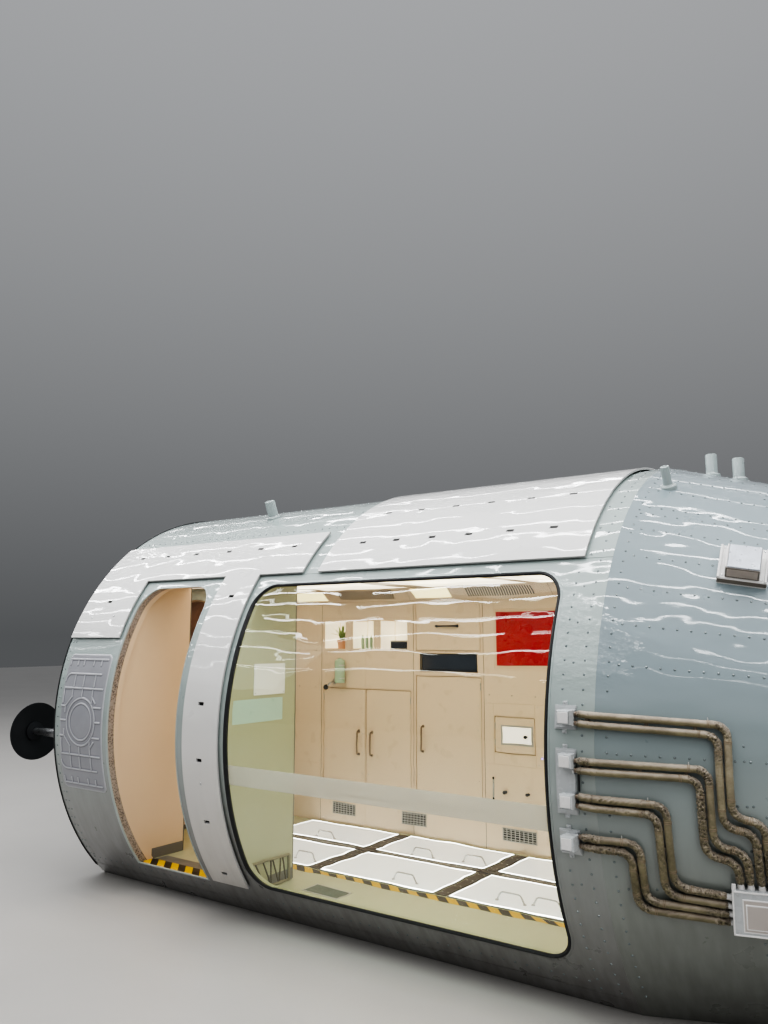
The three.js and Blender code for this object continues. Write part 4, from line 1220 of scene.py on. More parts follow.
def facing_end(x, turn):
    """A frame with local Z along +X for a turn of 90 and along -X for -90, and local Y up."""
    return shift(x, 0, 0) @ spin(turn) @ spin(90, "X")


def u_bow(half, height):
    """Corners of a bow that stands on Z 0, with its feet at -half and half along Y."""
    return [(0, -half, 0), (0, -half, height), (0, half, height), (0, half, 0)]


# Ends: black trim round the left end, end plates, dishes and docking collar
def build_trim():
    low, high = node_box("aft_trim")
    flat = math.degrees(math.asin((AXIS_Z - WALL) / (RADIUS - 30)))
    turns = np.radians(np.linspace(-flat, 180 + flat, 300))
    section = [
        # X, radius: a rounded rubber profile
        (high.x, INNER - 18),
        (low.x + 4, INNER - 20),
        (low.x, INNER - 14),
        (low.x, RADIUS - 8),
        (low.x + 3, RADIUS + 2),
        (low.x + 8, RADIUS + 5.8),
        (high.x, RADIUS + 5.8),
    ]
    rows = [
        [(x, -r * math.cos(a), max(WALL, AXIS_Z + r * math.sin(a))) for x, r in section] for a in turns
    ]
    shape = Shape()
    add_grid(shape, rows, close_columns=True, caps=True)
    shape.make("end_trim", [RUBBER], replaces=["aft_trim"], slot="black_rubber", smooth=50)


DISH = {"bowl": 44, "bolts": 6, "bolt_ring": 47, "bolt_height": 10}


def build_dishes():
    for name, node_name in (("near_dish", "aft_dish_near"), ("far_dish", "aft_dish_far")):
        low, high = node_box(node_name)
        radius = (high.z - low.z) / 2
        length = high.x - low.x
        rim = length - DISH["bowl"]
        out = facing(high.x, (low.y + high.y) / 2, (low.z + high.z) / 2, -1)
        # profiles of radius and distance from the end plate
        dish = [
            (58, length - 12),
            (radius * 0.55, length - 22),
            (radius - 8, rim + 2),
            (radius - 1, rim + 1),
            (radius, rim + 4),
            (radius - 3, rim + 9),
            (radius * 0.6, length - 12),
            (70, length - 4),
            (24, length),
        ]
        boss = [(70, length - 14), (70, length - 26), (40, length - 34), (26, length - 36)]
        stem = [(52, 0.5), (52, 10), (44, 14), (42, 60), (40, 62), (24, length - 30), (24, length - 8)]
        shape = Shape()
        for profile, sides, look in ((dish, 72, 0), (boss, 40, 0), (stem, 40, 1)):
            add_turned(shape, profile, sides, look, out)
        bolt_at = shift(DISH["bolt_ring"], 0, DISH["bolt_height"])
        for k in range(DISH["bolts"]):
            add_bolt(shape, "dish", out @ spin(360 / DISH["bolts"] * k) @ bolt_at, 1)
        shape.make(name, [BLACK, STEEL], replaces=[node_name], slot="black_paint")


COLLAR = {"outer": 640, "inner": 520, "lip": 690, "flange": 40, "bolts": 32, "latches": 12}
LID_SIZES = {"depth": 90, "ribs": 8, "bolt_ring": 455, "grips": 4, "grip_ring": 300, "grip_half": 70}


def build_collar():
    low, high = node_box("docking_collar")
    length = high.x - low.x
    outwards = facing(low.x, 0, AXIS_Z, 1)
    outer, inner, lip, flange = [COLLAR[key] for key in ("outer", "inner", "lip", "flange")]
    ring = [
        # radius, height: a closed ring section
        (inner, 0),
        (lip - 3, 0),
        (lip, 3),
        (lip, flange - 4),
        (lip - 5, flange),
        (outer + 8, flange),
        (outer, 48),
        (outer, 112),
        (outer - 8, 118),
        (outer - 8, 128),
        (outer, 134),
        (outer, length - 6),
        (outer - 6, length),
        (outer - 26, length),
        (outer - 30, length - 5),
        (outer - 52, length - 5),
        (outer - 56, length),
        (inner + 8, length),
        (inner, length - 8),
    ]
    seal = [
        # radius, height: a rubber bead in the groove of the face
        (outer - 50, length - 6),
        (outer - 46, length - 2),
        (outer - 36, length - 2),
        (outer - 32, length - 6),
    ]
    shape = Shape()
    for look, (profile, sides) in enumerate(((ring, 128), (seal, 96))):
        rows = [level_ring(radius, sides, height) for radius, height in profile]
        add_grid(shape, rows, look, close_rows=True, close_columns=True, matrix=outwards)
    for k in range(COLLAR["bolts"]):
        turn = outwards @ spin(360 / COLLAR["bolts"] * k)
        add_bolt(shape, "collar", turn @ shift(lip - 24, 0, flange))
    for k in range(COLLAR["latches"]):
        latch = outwards @ spin(360 / COLLAR["latches"] * (k + 0.5))
        add_box(shape, (outer - 4, outer + 26), (-26, 26), (62, 104), 0, 4, latch)
        add_box(shape, (outer + 20, outer + 34), (-9, 9), (70, 100), 1, 3, latch)
    shape.make("docking_ring", [STEEL, RUBBER], replaces=["docking_collar"], slot="collar_steel")
    build_lid(outwards, inner)


def build_lid(outwards, inner):
    """Cover inside the docking ring, with ribs, bolts, grips and a round boss."""
    depth = LID_SIZES["depth"]
    face = [
        # radius, height
        (inner - 1, 0.2),
        (inner - 1, depth - 8),
        (inner - 9, depth),
        (400, depth),
        (392, depth - 7),
        (200, depth - 7),
        (192, depth),
        (180, depth),
    ]
    boss = [
        # radius, height
        (180, depth - 1),
        (180, depth + 26),
        (172, depth + 36),
        (110, depth + 39),
        (104, depth + 32),
        (30, depth + 32),
    ]
    cover = Shape()
    add_turned(cover, face, 96, 0, outwards)
    add_turned(cover, boss, 64, 0, outwards)
    step = 360 / LID_SIZES["ribs"]
    for k in range(LID_SIZES["ribs"]):
        turn = outwards @ spin(step * k)
        add_box(cover, (198, 388), (-11, 11), (depth - 9, depth + 6), 0, 4, turn)
        add_bolt(cover, "lid", turn @ spin(step / 2) @ shift(LID_SIZES["bolt_ring"], 0, depth), 1)
    grip = rounded_path(u_bow(LID_SIZES["grip_half"], 30), 14)
    for k in range(LID_SIZES["grips"]):
        turn = outwards @ spin(360 / LID_SIZES["grips"] * (k + 0.5))
        add_rod(cover, grip, 7, 10, 1, turn @ shift(LID_SIZES["grip_ring"], 0, depth - 7))
    cover.make("docking_lid", [SHIELD, STEEL], replaces=["docking_cover"], slot="shield_paint")


def dress(name, look, bevel=0.0, extra=()):
    """Gives a frame node its finish, and rounds its edges."""
    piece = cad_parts[name]
    piece.data.materials.clear()
    for finish in (look, *extra):
        piece.data.materials.append(finish)
    if bevel:
        weld = piece.modifiers.new("weld", "WELD")
        weld.merge_threshold = 0.00002
        flats = piece.modifiers.new("flats", "DECIMATE")
        flats.decimate_type = "DISSOLVE"
        flats.angle_limit = math.radians(0.2)
        soften(piece, bevel)


PLATE_FACE = 9  # height of the end plate's cover and rim over the plate
PLATE_RINGS = [
    # radius of the bolt ring, first and last turn, turn between bolts
    (440, -180, 165, 15),
    (1500, -130, 130, 5),
]
PLATE_GRIP = {"place": 330, "half": 80, "height": 55, "radius": 9}
FACE_RIB = {"count": 24, "from": 712, "half_width": 11, "height": 7}


def build_end_plate():
    """Bolts and grips on the barrel's ribbed left end."""
    dress("aft_bulkhead", HULL, 2.5)
    out = facing(-BARREL_HALF, 0, AXIS_Z, -1)
    shape = Shape()
    for radius, first, last, step in PLATE_RINGS:
        for angle in range(first, last + 1, step):
            add_bolt(shape, "plate", out @ spin(angle) @ shift(radius, 0, PLATE_FACE))
    grip = rounded_path(u_bow(PLATE_GRIP["half"], PLATE_GRIP["height"]), 18)
    for side in (-1, 1):
        foot = out @ shift(0, side * PLATE_GRIP["place"], PLATE_FACE)
        add_rod(shape, grip, PLATE_GRIP["radius"], 12, 0, foot @ spin(90))
    shape.make("end_plate_fittings", [STEEL], slot="collar_steel")


def build_forward_face():
    """Low ribs and a ring of bolts on the flat face round the docking collar."""
    out = facing(FORWARD_END, 0, AXIS_Z, 1)
    edge = NARROW_RADIUS - 46
    half, height = FACE_RIB["half_width"], FACE_RIB["height"]
    step = 360 / FACE_RIB["count"]
    shape = Shape()
    for k in range(FACE_RIB["count"]):
        turn = out @ spin(step * k)
        add_box(shape, (FACE_RIB["from"], edge - 18), (-half, half), (-1, height), 0, 3, turn)
        for bolt_turn in (0, step / 2):
            add_bolt(shape, "plate", turn @ spin(bolt_turn) @ shift(edge + 6, 0, 0), 1)
    shape.make("forward_face_ribs", [CONE, STEEL], slot="cone_paint")


# Doorway and window
LIP_DEPTH = 9


def build_doorway():
    outer, seam, inner = RADIUS - 0.5, RADIUS - 58, INNER - 40
    shape = Shape()
    foil = [
        # inset, radius
        (GAP, outer),
        (LINER_THICKNESS, outer),
        (LINER_THICKNESS, seam),
        (GAP, seam),
    ]
    lining = [
        # inset, radius of the painted part behind the foil
        (GAP, seam - GAP),
        (LINER_THICKNESS - 1, seam - GAP),
        (LINER_THICKNESS - 1, inner),
        (GAP, inner),
    ]
    for look, profile in enumerate((foil, lining)):
        opening_ring(shape, DOOR, profile, look)
    shape.make("door_foil_band", [FOIL, WARM], replaces=["door_liner"], slot="liner_metal")
    lip = Shape()
    rounded = [
        # inset, radius
        (GAP, RADIUS + 0.2),
        (1.5, RADIUS + 2.4),
        (5, RADIUS + 3),
        (10.5, RADIUS + 2.2),
        (12, RADIUS - 2),
        (12, RADIUS - LIP_DEPTH),
        (8.2, RADIUS - LIP_DEPTH),
        (8.2, RADIUS - 1),
    ]
    opening_ring(lip, DOOR, rounded)
    lip.make("door_lip", [FIXING], slot="hull_paint", smooth=50)
    sill = Shape()
    front = -math.sqrt(RADIUS**2 - (AXIS_Z - DOOR["bottom"]) ** 2)
    across = (DOOR["left"] + 12, DOOR["right"] - 12)
    on_liner = (DOOR["bottom"] + 8.1, DOOR["bottom"] + 9.4)
    add_box(sill, across, (front + 4, front + 118), on_liner, 0, 0.4)
    add_box(sill, across, (front + 124, front + 240), (DECK_TOP + 0.4, DECK_TOP + 3), 1, 1)
    sill.make("door_sill_tape", [HAZARD, RAIL], slot="deck_finish")


FILM_HEIGHTS = (862, 976)


def build_window():
    deep = RADIUS - SEAL["deep"]
    lip = [
        # inset, radius: a rounded rubber lip that falls to the glass
        (SEAL["rim"], deep),
        (SEAL["rim"], RADIUS + 2),
        (12.5, RADIUS + 5),
        (16, RADIUS + 6),
        (20, RADIUS + 4.6),
        (23, RADIUS + 1),
        (26, RADIUS - 1),
        (29, RADIUS - 4),
        (SEAL["in"], RADIUS - 8),
        (SEAL["in"], deep),
    ]
    flange = SEAL["rim"] - 0.4
    painted = [
        # inset, radius: the flange round the lip
        (SEAL["out"], deep),
        (SEAL["out"], RADIUS + 0.4),
        (1.6, RADIUS + 1.6),
        (flange, RADIUS + 1.6),
        (flange, deep),
    ]
    reveal = [
        # inset, radius: the lining of the wall behind
        (SEAL["out"], INNER + 10),
        (SEAL["out"], deep - GAP),
        (SEAL["in"], deep - GAP),
        (SEAL["in"], INNER + 10),
    ]
    gasket = Shape()
    for look, profile in enumerate((lip, painted, reveal)):
        opening_ring(gasket, WINDOW, profile, look)
    looks = [RUBBER, HULL, PALE]
    gasket.make("window_seal", looks, replaces=["window_gasket"], slot="black_rubber", smooth=40)
    pane = Shape()
    curved_pane(pane, PANE["inset"], None, PANE["outer"], PANE["inner"])
    glass = pane.make("window_pane", [GLASS], replaces=["window_glass"], slot="window_glass")
    radial_normals(glass.data)
    film = Shape()
    curved_pane(film, GASKET_WIDTH - 2, FILM_HEIGHTS, PANE["inner"] - 0.4, PANE["inner"] - 1.4)
    band = film.make("window_film", [FILM], slot="window_glass")
    radial_normals(band.data)


def curved_pane(shape, inset, heights, outer, inner):
    """A sheet that follows the near side and fills the window, or a band of it between two heights."""
    low, high = WINDOW["bottom"] + inset, WINDOW["top"] - inset
    left, right = WINDOW["left"] + inset, WINDOW["right"] - inset
    corner = WINDOW["corner"] - inset
    if heights:
        levels = np.linspace(*heights, 12)
    else:
        bend = corner * (1 - np.cos(np.radians(np.linspace(0, 90, 14))))
        straight = np.linspace(low + corner, high - corner, 70)[1:-1]
        levels = np.concatenate([low + bend, straight, (high - bend)[::-1]])
    rows = []
    for z in levels:
        past = max(0.0, low + corner - z, z - (high - corner))
        back = corner - math.sqrt(max(0.0, corner**2 - past**2))
        ends = np.linspace(left + back, right - back, 5)
        flat = np.stack([ends, np.full(5, z)], -1)
        rows.append(np.concatenate([near_side_points(flat, outer), near_side_points(flat, inner)[::-1]]))
    add_grid(shape, rows, close_columns=True, caps=True)


# Hose boxes and hoses on the near side
CONNECTION_BOXES = [
    # node, heights of its caps, heights of the hoses that leave it
    ("connection_box_upper", [1380], [1394, 1354]),
    ("connection_box_middle", [1021, 1192], [1194, 1154, 1042, 1002]),
    ("connection_box_lower", [846], [869, 829]),
]
CAP = {"half": 31, "lid": 24}
CAP_SECTION = [
    # half of the width, distance behind the front
    (31, -84),
    (31, -9),
    (27, -3.2),
    (27, -2.6),
]
PLATE_RAISED = 14
UPRIGHT_ROD = {"x": 1948, "z": (1062, 1146), "radius": 4.5, "lift": 12}


def build_connection_boxes():
    for name, caps, outlets in CONNECTION_BOXES:
        low, high = node_box(name)
        turns = [math.degrees(math.asin((z - AXIS_Z) / RADIUS)) for z in (low.z, high.z)]
        shape = Shape()
        # plates and caps take the grey box paint, darker than the white lids as painted shade for depth
        for x, inset, outer, inner in (
            ((low.x, high.x), 0, 8, -1),
            ((low.x + 7, high.x - 4), 0.25, PLATE_RAISED, 7),
        ):
            rows = np.linspace(turns[0] + inset, turns[1] - inset, 6)
            add_cells(shape, x, rows, lambda x, a: True, outer, inner)
        for z in caps:
            front = facing_near(high.x - CAP["half"], low.y, z)
            square = [(-1, -1), (1, -1), (1, 1), (-1, 1)]
            rows = [[(sx * half, sy * half, depth) for sx, sy in square] for half, depth in CAP_SECTION]
            add_grid(shape, rows, 0, close_columns=True, caps=True, matrix=front)
            lid = (-CAP["lid"], CAP["lid"])
            add_box(shape, lid, lid, (-4, -0.3), 2, 1.2, front)
        for z in outlets:
            y = float(at_height(high.x, z, HOSE["stand_off"])[1])
            add_turned(shape, [(17, -4), (17, 3), (14, 5), (11, 5)], 24, 1, facing(high.x - 2, y, z, 1))
        for side, turn in zip((-1, 1), turns):
            tab = standing((low.x + high.x) / 2 - 4, turn + side * 0.3, 0.4)
            add_box(shape, (-11, 11), (-10, 10), (0, 7), 0, 1.5, tab)
            add_turned(shape, [(5, 0), (5, 12), (3.5, 13)], 12, 0, tab @ shift(0, side * 3, 0))
        shape.make(name + "_case", [BOX, STEEL, LID], replaces=[name], slot="relief_plastic", bevel=1.2)
    # a thin black upright rod on the hull beside the middle box, between its two hose pairs
    rod = Shape()
    heights = np.linspace(*UPRIGHT_ROD["z"], 6)
    add_rod(rod, at_height(UPRIGHT_ROD["x"], heights, UPRIGHT_ROD["lift"]), UPRIGHT_ROD["radius"])
    rod.make("upright_rod", [BLACK], slot="black_paint")


JUNCTION = {"corner": (2523, -1450, 710), "length": 290, "height": 178, "lean": 5, "rim": 7}
JUNCTION_PLATES = [
    # margin left and right, margin at the top, margin below, height over the front
    (38, 30, 16, 2.4),
    (50, 50, 28, 4.4),
]
JUNCTION_BORDER = 5  # width of each plate's bright edge


def junction_frame():
    """Local X along the cone's slope, local Y up the front of the box and local Z out of it."""
    along = Vector((1, CONE_SLOPE, 0)).normalized()
    level = Vector((CONE_SLOPE, -1, 0)).normalized()
    lean = math.radians(JUNCTION["lean"])
    outward = Vector((level.x * math.cos(lean), level.y * math.cos(lean), -math.sin(lean)))
    rows = Matrix((along, outward.cross(along), outward)).transposed().to_4x4()
    return shift(*JUNCTION["corner"]) @ rows


def build_junction_box():
    dress("junction_box", BOX, 2.5)
    front = junction_frame()
    length, height, edge = [JUNCTION[key] for key in ("length", "height", "rim")]
    shape = Shape()
    # bright rim round the front
    for y in ((-edge, -0.5), (0.5 - height, edge - height)):
        add_box(shape, (0.5, length - 0.5), y, (-2, 3), 0, 1, front)
    for x in (0.5, length - edge):
        add_box(shape, (x, x + edge - 0.5), (0.5 - height, -0.5), (-2, 3), 0, 1, front)
    for margin, top, below, raised in JUNCTION_PLATES:
        low_y, high_y = below - height, -top
        add_box(shape, (margin, length - margin), (low_y, high_y), (-1, raised), 0, 1.4, front)
        inner_x = (margin + JUNCTION_BORDER, length - margin - JUNCTION_BORDER)
        inner_y = (low_y + JUNCTION_BORDER, high_y - JUNCTION_BORDER)
        add_box(shape, inner_x, inner_y, (0, raised + 0.3), 2, 0.3, front)
    corner_screws(shape, (20, length - 20), (-16, 14 - height), front, 4.5, 1)
    # hinge tab on the top left corner
    add_box(shape, (1, 17), (-4, 24), (-16, -5), 0, 2, front)
    shape.make("junction_box_lid", [LID, STEEL, BEIGE], slot="relief_plastic")


HOSE = {"radius": 16.5, "stand_off": 24.0, "bend": 58.0, "sides": 20, "spacing": 3.4, "neck": 11.0}
CREASE = {
    "depth": 3.2,
    "twist": 2.0,
    "slow": 0.8,
    "end_reach": 16.0,
    "fade": 0.03,
    "turn": 0.045,
    "worked": 0.5,
}
HOSE_START = node_box("connection_box_upper")[1].x + GAP
TOP_END = JUNCTION["corner"][2] + 5
SIDE_END = JUNCTION["corner"][0] - 10
HOSES = [
    # pair, corners as (X, Z), worked stretches as (from, to, crumpled, twisted) in shares of the length
    (
        1,
        [(HOSE_START, 1394), (2547, 1367), (2547, 1000), (2664, 985), (2664, TOP_END)],
        [(0.86, 1, 0.6, 0)],
    ),
    (
        1,
        [(HOSE_START, 1354), (2511, 1326), (2511, 958), (2628, 942), (2628, TOP_END)],
        [(0.44, 0.56, 0.45, 0), (0.8, 1, 0.8, 0)],
    ),
    (
        2,
        [(HOSE_START, 1194), (2471, 1186), (2471, 878), (2588, 862), (2588, TOP_END)],
        [(0, 0.06, 0.9, 0), (0.47, 0.56, 0.6, 0.3), (0.8, 1, 0.7, 0)],
    ),
    (
        2,
        [(HOSE_START, 1154), (2435, 1146), (2435, 838), (2552, 822), (2552, TOP_END)],
        [(0, 0.03, 0.9, 0), (0.5, 0.78, 1.0, 0), (0.78, 1, 0.8, 0)],
    ),
    (
        3,
        [(HOSE_START, 1042), (2302, 1030), (2302, 694), (SIDE_END, 672)],
        [(0.02, 0.36, 0.1, 1.0), (0.75, 0.98, 0.6, 0)],
    ),
    (
        3,
        [(HOSE_START, 1002), (2266, 990), (2266, 654), (SIDE_END, 634)],
        [(0.1, 0.36, 0.25, 0.2), (0.36, 0.7, 0.25, 0.8)],
    ),
    (
        4,
        [(HOSE_START, 869), (2185, 864), (2185, 618), (SIDE_END, 598)],
        [(0.0, 0.13, 1.0, 0.3), (0.32, 0.56, 0.2, 0.6), (0.86, 1, 0.5, 0)],
    ),
    (
        4,
        [(HOSE_START, 829), (2149, 824), (2149, 582), (SIDE_END, 562)],
        [(0.0, 0.24, 1.0, 0.2), (0.3, 0.52, 0.2, 0.9), (0.66, 0.8, 0.1, 0.9), (0.9, 1, 0.8, 0)],
    ),
]
BRACKETS = {
    # pair: X, Z and turn of the places where it is held, 0 where it runs level and 90 where it runs upright
    1: [(1990, 1372, 0), (2230, 1359, 0), (2420, 1351, 0), (2529, 1150, 90)],
    2: [(1990, 1172, 0), (2200, 1169, 0), (2380, 1167, 0), (2453, 1000, 90)],
    3: [(1990, 1020, 0), (2180, 1014, 0), (2284, 850, 90), (2430, 663, 0)],
    4: [(1990, 848, 0), (2090, 846, 0), (2167, 730, 90), (2400, 588, 0)],
}
BRACKET = {"half_width": 8, "half_span": 27, "height": 20}
TIE = {"apart": 3.6, "ends": (-1.9, -1.0, 1.0, 1.9), "swell": (-1.5, 1.0, 1.0, -1.5), "sides": 18}
TAIL = {"radius": 1.5, "reach": 12}


def creased_radius(path, lengths, stretches, phase):
    """Radius round a wrapped hose, creased where it bends, in its worked stretches and at its ends."""
    tangents, _, _ = along_path(path)
    bending = np.linalg.norm(np.gradient(tangents, axis=0), axis=1)
    bending = np.clip(np.convolve(bending, np.ones(11) / 11, "same") * 10, 0, 0.8)
    end = np.minimum(lengths, lengths[-1] - lengths)
    crumpled = 0.14 + bending + 0.9 * np.exp(-end / CREASE["end_reach"])
    twisted = np.full(len(path), 0.12)
    share = lengths / lengths[-1]
    for start, stop, crumple, twist in stretches:
        rise = np.clip((share - start) / CREASE["fade"] + (start <= 0), 0, 1)
        fall = np.clip((stop - share) / CREASE["fade"] + (stop >= 1), 0, 1)
        crumpled += rise * fall * crumple
        twisted += rise * fall * twist
    crumpled = np.clip(crumpled, 0, 1.1)
    radii = np.empty((len(path), HOSE["sides"]))
    turns = np.arange(HOSE["sides"]) * 2 * math.pi / HOSE["sides"]
    for i, s in enumerate(lengths):
        for j, a in enumerate(turns):
            fold_at = Vector((s / 10.5 + phase * 50, 1.5 * math.cos(a), 1.5 * math.sin(a)))
            turned = a + s * CREASE["turn"]
            long_at = Vector((s / 70 + phase * 31, 1.9 * math.cos(turned), 1.9 * math.sin(turned)))
            fold = 1 - 3.2 * abs(noise.noise(fold_at))
            long_fold = 1 - 3.2 * abs(noise.noise(long_at))
            slow = noise.noise(Vector((s / 34 + phase * 11, math.cos(a), math.sin(a))))
            radii[i, j] = CREASE["depth"] * crumpled[i] * fold + CREASE["twist"] * twisted[i] * long_fold
            radii[i, j] += CREASE["slow"] * slow
    neck = np.clip(end / 15, 0, 1)[:, None]
    gathered = HOSE["neck"] + (HOSE["radius"] - HOSE["neck"]) * np.sqrt(neck)
    radii = np.clip(gathered - 0.9 + radii * (0.4 + 0.6 * neck), 6, HOSE["radius"] + 1.8)
    return radii, crumpled > CREASE["worked"]


def tie_places(corners, flat, lengths):
    """Lengths along a hose at which it is tied: before and after each bend."""
    ties = []
    for x, z in corners[1:-1]:
        nearest = np.argmin(np.hypot(flat[:, 0] - x, flat[:, 1] - z))
        ties += [lengths[nearest] - HOSE["bend"] * 1.1, lengths[nearest] + HOSE["bend"] * 1.0]
    return [tie for tie in ties if 30 < tie < lengths[-1] - 30]


def add_tie(shape, centre, tangent, tail):
    """Two thin cords round a hose, with a cut end that stands up where tail is true."""
    swell = HOSE["radius"] + 0.2 + np.array(TIE["swell"])
    radii = np.repeat(swell[:, None], TIE["sides"], 1)
    for offset in (-TIE["apart"], TIE["apart"]):
        cord = [centre + tangent * offset + tangent * along for along in TIE["ends"]]
        add_rod(shape, cord, radii, TIE["sides"], 5)
    if tail:
        foot = centre + np.array([0, 0, HOSE["radius"] - 1])
        add_rod(shape, [foot, foot + np.array([0, -2, TAIL["reach"]])], TAIL["radius"], 8, 1)


def build_hose(shape, index, corners, stretches):
    """One wrapped hose with its necks and ties."""
    flat = rounded_path(corners, HOSE["bend"], 8, HOSE["spacing"])
    path = at_height(flat[:, 0], flat[:, 1], HOSE["stand_off"])
    lengths = np.concatenate([[0], np.cumsum(np.linalg.norm(np.diff(path, axis=0), axis=1))])
    # the wrap ends short of the boxes, where the necks show
    first, last = np.searchsorted(lengths, [7, lengths[-1] - 17])
    wrapped = slice(first, last)
    start = len(shape.looks)
    from_neck = lengths[wrapped] - lengths[first]
    radii, creased = creased_radius(path[wrapped], from_neck, stretches, index * 0.37)
    add_rod(shape, path[wrapped], radii, HOSE["sides"], 0)
    for row in np.flatnonzero(creased[:-1]):
        first_face = start + row * HOSE["sides"]
        shape.looks[first_face:first_face + HOSE["sides"]] = [4] * HOSE["sides"]
    add_rod(shape, path[: first + 2], HOSE["neck"], 16, 2)
    add_rod(shape, path[last - 2:], HOSE["neck"] + 1.5, 18, 1)
    add_rod(shape, path[-3:], HOSE["neck"] + 4, 20, 1)
    tangents, _, _ = along_path(path)
    for number, tie in enumerate(tie_places(corners, flat, lengths)):
        i = int(np.clip(np.searchsorted(lengths, tie), 1, len(path) - 2))
        add_tie(shape, path[i], tangents[i], index % 2 == 0 and number == 0)


def build_hoses():
    shapes = {pair: Shape() for pair in BRACKETS}
    for index, (pair, corners, stretches) in enumerate(HOSES):
        build_hose(shapes[pair], index, corners, stretches)
    span = (-BRACKET["half_span"], BRACKET["half_span"])
    wide = (-BRACKET["half_width"], BRACKET["half_width"])
    looks = [WRAP, LID, BRONZE, FRAME_GREY, WRAP_WORKED, CORD]
    for pair, shape in shapes.items():
        for x, z, turn in BRACKETS[pair]:
            angle = math.degrees(math.asin((z - AXIS_Z) / float(skin_radius(x))))
            add_box(shape, wide, span, (0, BRACKET["height"]), 3, 2, standing(x, angle, 0.5, turn))
        replaced = [f"hose_pair_{pair}"]
        shape.make(f"hoses_{pair}", looks, replaces=replaced, slot="hose_wrap", smooth=60)


# Box on the upper side of the cone
EQUIPMENT = {"x": 2577, "angle": 38.5, "length": 208, "width": 206, "plate": 36}
BLOCK = {"half_length": 74, "low": -94, "high": 53, "height": 106}


def build_equipment_box():
    """Plate that lies on the cone's slope, with a raised block."""
    foot = standing(EQUIPMENT["x"], EQUIPMENT["angle"])
    half_l, half_w, plate = EQUIPMENT["length"] / 2, EQUIPMENT["width"] / 2, EQUIPMENT["plate"]
    half_b, low, high, top = [BLOCK[key] for key in ("half_length", "low", "high", "height")]
    boxes = [
        # local X, Y and Z, look, cut edge: the plate, and a grey-brown strip on its front edge as painted
        # shade
        ((-half_l, half_l), (-half_w, half_w), (-58, plate), 0, 4),
        ((-half_l - 1, half_l + 1), (-half_w - 1, -half_w + 6), (4, plate - 5), 4, 2),
        # raised rim along both ends of the plate
        ((-half_l, -half_l + 11), (-half_w + 1, half_w - 1), (plate - 2, plate + 7), 0, 2),
        ((half_l - 11, half_l), (-half_w + 1, half_w - 1), (plate - 2, plate + 7), 0, 2),
        # the block with its mottled top and the top's bright edge
        ((-half_b, half_b), (low, high), (plate - 1, top - 5), 0, 5),
        ((-half_b + 9, half_b - 2), (low + 3, high - 3), (top - 9, top - 0.5), 2, 3),
        ((-half_b + 0.5, -half_b + 8), (low + 2, high - 2), (top - 9, top - 0.2), 0, 2),
        # dark framed front with a streaked panel
        ((-half_b + 3, half_b - 3), (low - 1.6, low + 2), (plate + 2, top - 6), 4, 7),
        ((-half_b + 9, half_b - 9), (low - 2.8, low + 2), (plate + 8, top - 12), 1, 6),
    ]
    shape = Shape()
    for x, y, z, look, cut in boxes:
        add_box(shape, x, y, z, look, cut, foot)
    places = (20 - half_l, half_l - 20), (16 - half_w, half_w - 16)
    corner_screws(shape, *places, foot @ shift(0, 0, plate), 5, 3)
    looks = [LID, STREAKED, MOTTLED, STEEL, FRAME_GREY]
    shape.make("equipment_case", looks, replaces=["equipment_box"], slot="relief_plastic")


POSTS = [
    # X, angle, height, radius, flange radius
    (-832, 66.9, 136, 38, 52),
    (2145, 62, 121, 24, 43),
    (2195, 90, 138, 34, 50),
    (2348, 90, 138, 34, 50),
]


def square_to_axis(x, angle):
    """A frame on the hull with local Z straight away from the axis."""
    a = math.radians(angle)
    outward = Vector((0, -math.cos(a), math.sin(a)))
    across = Vector((0, math.sin(a), math.cos(a)))
    rows = Matrix((Vector((1, 0, 0)), across, outward)).transposed().to_4x4()
    foot = outward * float(skin_radius(x))
    return shift(x, foot.y, AXIS_Z + foot.z) @ rows


def build_posts():
    for number, (x, angle, height, radius, flange) in enumerate(POSTS, 1):
        foot = square_to_axis(x, angle)
        profile = [
            # radius, height
            (flange, -40),
            (flange, 9),
            (flange - 4, 14),
            (radius + 5, 16),
            (radius + 1, 20),
            (radius, 26),
            (radius, height - 9),
            (radius - 2, height - 3),
            (radius - 8, height),
            (radius - 12, height),
            (radius - 14, height - 3),
        ]
        shape = Shape()
        add_turned(shape, profile, 40, 0, foot)
        for k in range(6):
            screw_head(shape, foot @ spin(60 * k + 30) @ shift((flange + radius) / 2 + 1, 0, 14.5), 4, 1)
        shape.make(f"post_tube_{number}", [FIXING, STEEL], replaces=[f"post_{number}"], slot="hull_paint")


# Cabin floor
FIELD_COLUMNS = [(-1308, -405), (-305, 598), (698, 1601)]
FIELD_ROWS = [(-680, -130), (-50, 430)]
FIELD_GAPS = [(x1, x2) for (_, x1), (x2, _) in zip(FIELD_COLUMNS, FIELD_COLUMNS[1:])]
FIELD_TOP = DECK_TOP + FIELD_HEIGHT
LIT_EDGE = {"in": 9, "long": 14, "short": 8}
CABIN_END = BARREL_HALF - WALL
BAILS = [(83, -2), (485, 32), (1066, -573), (1287, -546), (-530, -560), (-820, 10), (1450, 20), (330, -590)]
BAIL = {"half": 90, "radius": 5.0}
SOCKET_PLATE = {"x": 38, "y": -1015, "turn": -4}
FLOOR_TAPE = {"x": (-640, CABIN_END - 4), "y": (-760, -692)}


